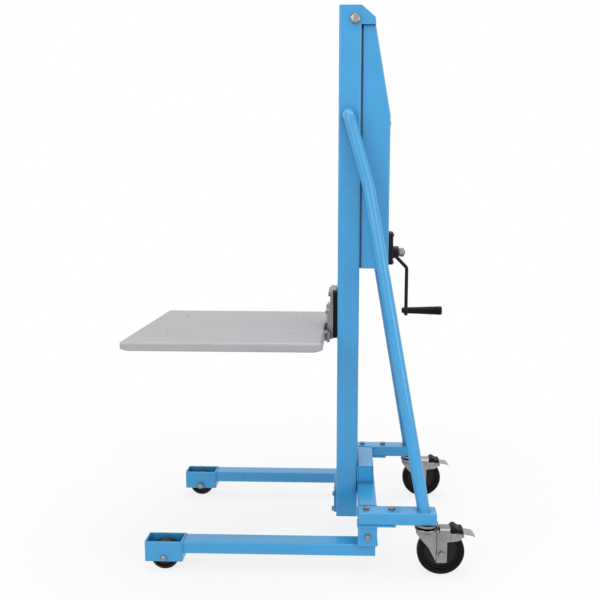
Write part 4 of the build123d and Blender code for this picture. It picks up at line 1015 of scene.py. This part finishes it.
# %% The pressed parts of a fork
SHEET = 3
FLANK_LOW = [(-28, 116), (-23, 110), (3, 83), (24, 43), (26, 38.2)]
FLANK_OUT = [(-28, 14), (-24, 18.4), (-16, 23), (-4, 26)]
FLANK_OUT += [(10, 27.4), (20, 27), (23, 26), (26, 22.2)]
PLATE_LOW = [(26, 38.2), (50.5, 38.2), (52.5, 40), (52.51, 95), (78, 98), (90, 103)]
BRIDGE_TOP = [(26, 124), (31.5, 124), (34, 129), (62, 129)]
ARM_TOP = [(62, 118), (80, 119.5), (86, 119), (90, 116)]
PLATE_Y, ARCH = 22, 11


def flank(side, y_side):
    """One bulged flank, on the side y_side of the castor on the given side of the trolley."""
    sections = []
    for x in (-28, -26, -24, -22, -19, -16, -12, -8, -4, 0, 5, 10, 15, 20, 23, 26):
        low, out = between(x, FLANK_LOW), between(x, FLANK_OUT)
        middle, inner = 0.5 * (low + 118), out - SHEET
        outline = [(out, low), (out, middle), (out, 118), (out - 1.5, 122.6), (out - 3.5, 123.4)]
        outline += [(out - 4.5, 121.0), (inner, 117), (inner, middle), (inner, low)]
        sections.append(stand(x, side, outline, y_side))
    return loft(sections)


def bridge(side):
    """Two flat plates and the arched sheet over the wheel that joins them."""
    sections = []
    for x in (26, 28, 31.5, 33, 34, 40, 46, 50.5, 52.5, 52.51, 56, 59, 62):
        low, spring = between(x, PLATE_LOW), between(x, BRIDGE_TOP) - ARCH
        skins = []
        for bend in (ARCH, ARCH - SHEET):
            wide, high = PLATE_Y - ARCH + bend, spring + bend
            wall = [(wide, low), (wide, 0.5 * (low + spring))]
            skins.append(mirrored(wall + folded(wide, high, bend, 5) + [(0, high)]))
        sections.append(stand(x, side, skins[0] + skins[1][::-1]))
    return loft(sections)


def arm(side, y_side):
    """One of the two arms that reach back to the brake's pin."""
    sections = []
    inner = PLATE_Y - SHEET
    for x in (61, 66, 72, 78, 82, 86, 88, 90):
        low, top = between(x, PLATE_LOW), between(x, ARM_TOP)
        outline = [(PLATE_Y, low), (PLATE_Y, top - 1), (PLATE_Y - 1, top)]
        outline += [(inner + 1, top), (inner, top - 1), (inner, low)]
        sections.append(stand(x, side, outline, y_side))
    return loft(sections)


# %% Forks, races and axles of both castors
crown = [(121.2, 8), (124.2, 8), (124.2, 24), (127.8, 27.5), (128.0, 30.2)]
crown += [(126.6, 31), (122.6, 30.6), (120.4, 27), (121.2, 20)]
race = [(139.8, 0), (139.8, 30), (138.2, 30.4), (134.8, 29.6), (131.6, 27.4)]
race += [(129.4, 24), (128.8, 20), (128.8, 6), (123, 6), (123, 0)]
half_pin = [(24.6, 0), (24.6, 4.2), (22, 4.6), (22, 3)]
pin_profile = [(-along, radius) for along, radius in half_pin] + half_pin[::-1]
king_nut = ringed(hex_rings(18, 122.9, 129, chamfer_low=True))
hub_bolt = bolt_shape(thick=8, grip=44, flats=12, head=4.6, nut=6.4)
races = []
for name, side in SIDES.items():
    body, centre = "swivel_" + name, at(SWIVEL_X, side * RAIL_Y, 0)
    parts = joined(
        flank(side, -1), flank(side, 1), arm(side, -1), arm(side, 1), bridge(side),
    )
    fork = one_mesh("fork", [turned(crown, centre, Z, ring=True), mesh_from("sheet", *parts)])
    keep("pressed_fork_" + name, fork, body, "bright_zinc", 32, ["castor_fork_" + name])
    races += [turned(race, centre, Z), placed(king_nut, [(centre, Z, 0.2)])]
    hub_spot = (at(WHEEL_X, side * (RAIL_Y + PLATE_Y), WHEEL_Z), Y * side, 0.35)
    pin = turned(pin_profile, at(264, side * RAIL_Y, 114), Y, steps=24)
    axles = one_mesh("axles", [placed(hub_bolt, [hub_spot]), pin])
    keep("castor_axles_" + name, axles, body, "bright_zinc", 32, ["castor_bolts_" + name])
keep("castor_races", one_mesh("races", races), "root", "bright_zinc", 32, ["castor_plates"])

# %% [markdown]
# ## The brakes
# A moulded hood covers the brake's spring, and a pressed steel lever comes out from under it.
# A foot on the lever's tail turns it about a pin and presses its cam against the tyre. Both
# are lofts again: outlines of the hood and the lever stand at places along the castor.

# %% Hood and lever
HOOD_NOSE, HOOD_LOW = 58.5, 118.6
HOOD_TOP = [(60, 127), (64, 132), (69, 134.5), (74, 133.5), (79, 129.8), (84, 126.8), (94, 126.4)]
LEVER_TOP = [(73, 124), (92, 124), (99, 118.5), (103, 116.6), (118, 114.6), (123, 111), (127, 106)]
LEVER_HALF = [(73, 15.5), (76, 17), (116, 17), (122, 15.5), (125.5, 12), (127, 8)]
CAM_LOW = [(73, 119), (82, 108.6), (90, 104), (97.5, 104)]
CAM_HIGH = [(73, 121.2), (92, 121.2), (97.5, 117.4)]
CAM_HALF = 15


def hood(side):
    """A rounded hood, open below and behind, so that the lever moves freely inside."""
    sections = []
    for x in (HOOD_NOSE, 60, 62, 64, 66.5, 69, 71.5, 74, 76.5, 79, 81.5, 84, 89, 94):
        top = between(x, HOOD_TOP) - (2.5 if x == HOOD_NOSE else 0)
        skins = [
            mirrored([(wide, HOOD_LOW)] + folded(wide, high, bend, 4))
            for wide, high, bend in ((21.4, top, 5), (18.6, top - 2.1, 3))
        ]
        sections.append(stand(x, side, skins[0] + skins[1][::-1]))
    return loft(sections)


def lever(side):
    """The tread sheet with a turned-down tail, and the cam below it."""
    tread, cam = [], []
    for x in (73, 74.5, 76, 85, 92, 94, 96.5, 99, 101, 103, 110, 116, 118, 120.5, 123, 125.5, 127):
        top, half = between(x, LEVER_TOP), between(x, LEVER_HALF)
        edge = [(-half, top - SHEET), (-half, top - 0.8), (0.8 - half, top)]
        tread.append(stand(x, side, mirrored(edge)))
    for x in (73, 77, 82, 86, 90, 94, 97.5):
        low, high = between(x, CAM_LOW), between(x, CAM_HIGH)
        edge = [(CAM_HALF, high), (CAM_HALF, low + 2), (CAM_HALF - 2, low)]
        cam.append(stand(x, side, mirrored(edge)))
    return joined(loft(tread), loft(cam))


for name, side in SIDES.items():
    cover, pedal = mesh_from("hood", *hood(side)), mesh_from("lever", *lever(side))
    swivel, press = "swivel_" + name, "pedal_" + name
    keep("brake_hood_" + name, cover, swivel, "black_plastic", 38, ["brake_cover_" + name])
    keep("brake_lever_" + name, pedal, press, "bright_zinc", 32, ["brake_pedal_" + name])

# %% [markdown]
# ## Studio
# The trolley stands on a plain pale floor in soft light from the front left, the front right
# and above, with a white surround. The floor catches a soft shadow, and far from the trolley
# it turns into the same white as the background, so that no horizon shows.

# %% Floor
FLOOR_HALF = 14.0
FADE_START, FADE_END = 0.5, 1.9
FLOOR_GLOW = 0.8
floor_corners = [(-1, -1), (1, -1), (1, 1), (-1, 1)]
floor_mesh = bpy.data.meshes.new("studio_floor")
floor_mesh.from_pydata(
    [(x * FLOOR_HALF, y * FLOOR_HALF, 0) for x, y in floor_corners], [], [(0, 1, 2, 3)],
)
floor = in_scene("studio_floor", floor_mesh)
floor_paint = bpy.data.materials.new("pale_floor")
floor_paint.use_nodes = True
floor_tree = floor_paint.node_tree
floor_tree.nodes.clear()
floor_place = put(floor_tree, "ShaderNodeTexCoord").outputs["Object"]
distance = put(floor_tree, "ShaderNodeVectorMath", {0: floor_place}, operation="LENGTH")
far = put(
    floor_tree, "ShaderNodeMapRange",
    {
        "Value": distance.outputs["Value"], "From Min": FADE_START, "From Max": FADE_END,
        "To Min": FLOOR_GLOW,
    },
    interpolation_type="SMOOTHSTEP",
).outputs["Result"]
ray = put(floor_tree, "ShaderNodeLightPath").outputs
seen = worked(floor_tree, "MAXIMUM", ray["Is Camera Ray"], ray["Is Glossy Ray"])
share = worked(floor_tree, "MULTIPLY", far, seen)
matt = put(floor_tree, "ShaderNodeBsdfDiffuse", {"Color": (0.8, 0.8, 0.8, 1)}).outputs[0]
glow = put(floor_tree, "ShaderNodeEmission", {"Color": (1, 1, 1, 1), "Strength": 1.0}).outputs[0]
blended = put(floor_tree, "ShaderNodeMixShader", {0: share, 1: matt, 2: glow}).outputs[0]
put(floor_tree, "ShaderNodeOutputMaterial", {"Surface": blended})
floor_mesh.materials.append(floor_paint)
print("floor reaches", FLOOR_HALF, "metres each way")

# %% World and lamps
SKY_LIGHT = 0.62
world = bpy.data.worlds.new("studio")
bpy.context.scene.world = world
world.use_nodes = True
sky = world.node_tree
sky.nodes.clear()
ray = put(sky, "ShaderNodeLightPath").outputs
direct = worked(sky, "MAXIMUM", ray["Is Camera Ray"], ray["Is Transmission Ray"])
seen = worked(sky, "MAXIMUM", direct, ray["Is Glossy Ray"])
soft, white = (
    put(sky, "ShaderNodeBackground", {"Color": (1, 1, 1, 1), "Strength": strength}).outputs[0]
    for strength in (SKY_LIGHT, 1.0)
)
chosen = put(sky, "ShaderNodeMixShader", {0: seen, 1: soft, 2: white}).outputs[0]
put(sky, "ShaderNodeOutputWorld", {"Surface": chosen})


def softbox(name, place, target, size, power):
    """A square lamp that looks at a target."""
    data = bpy.data.lights.new(name, "AREA")
    data.shape = "SQUARE"
    data.size = size
    data.energy = power
    look = (Vector(target) - Vector(place)).to_track_quat("-Z", "Y")
    in_scene(name, data).matrix_world = Matrix.Translation(place) @ look.to_matrix().to_4x4()


softbox("front_left_box", (-2.2, -2.8, 2.4), (0, 0, 0.7), size=2.8, power=47)
softbox("front_right_box", (2.4, -2.4, 1.6), (0, 0, 0.6), size=1.8, power=24)
softbox("top_box", (0.2, 0.1, 4.6), (0.1, 0, 0), size=4.0, power=100)
print("lamps:", len(bpy.data.lights))
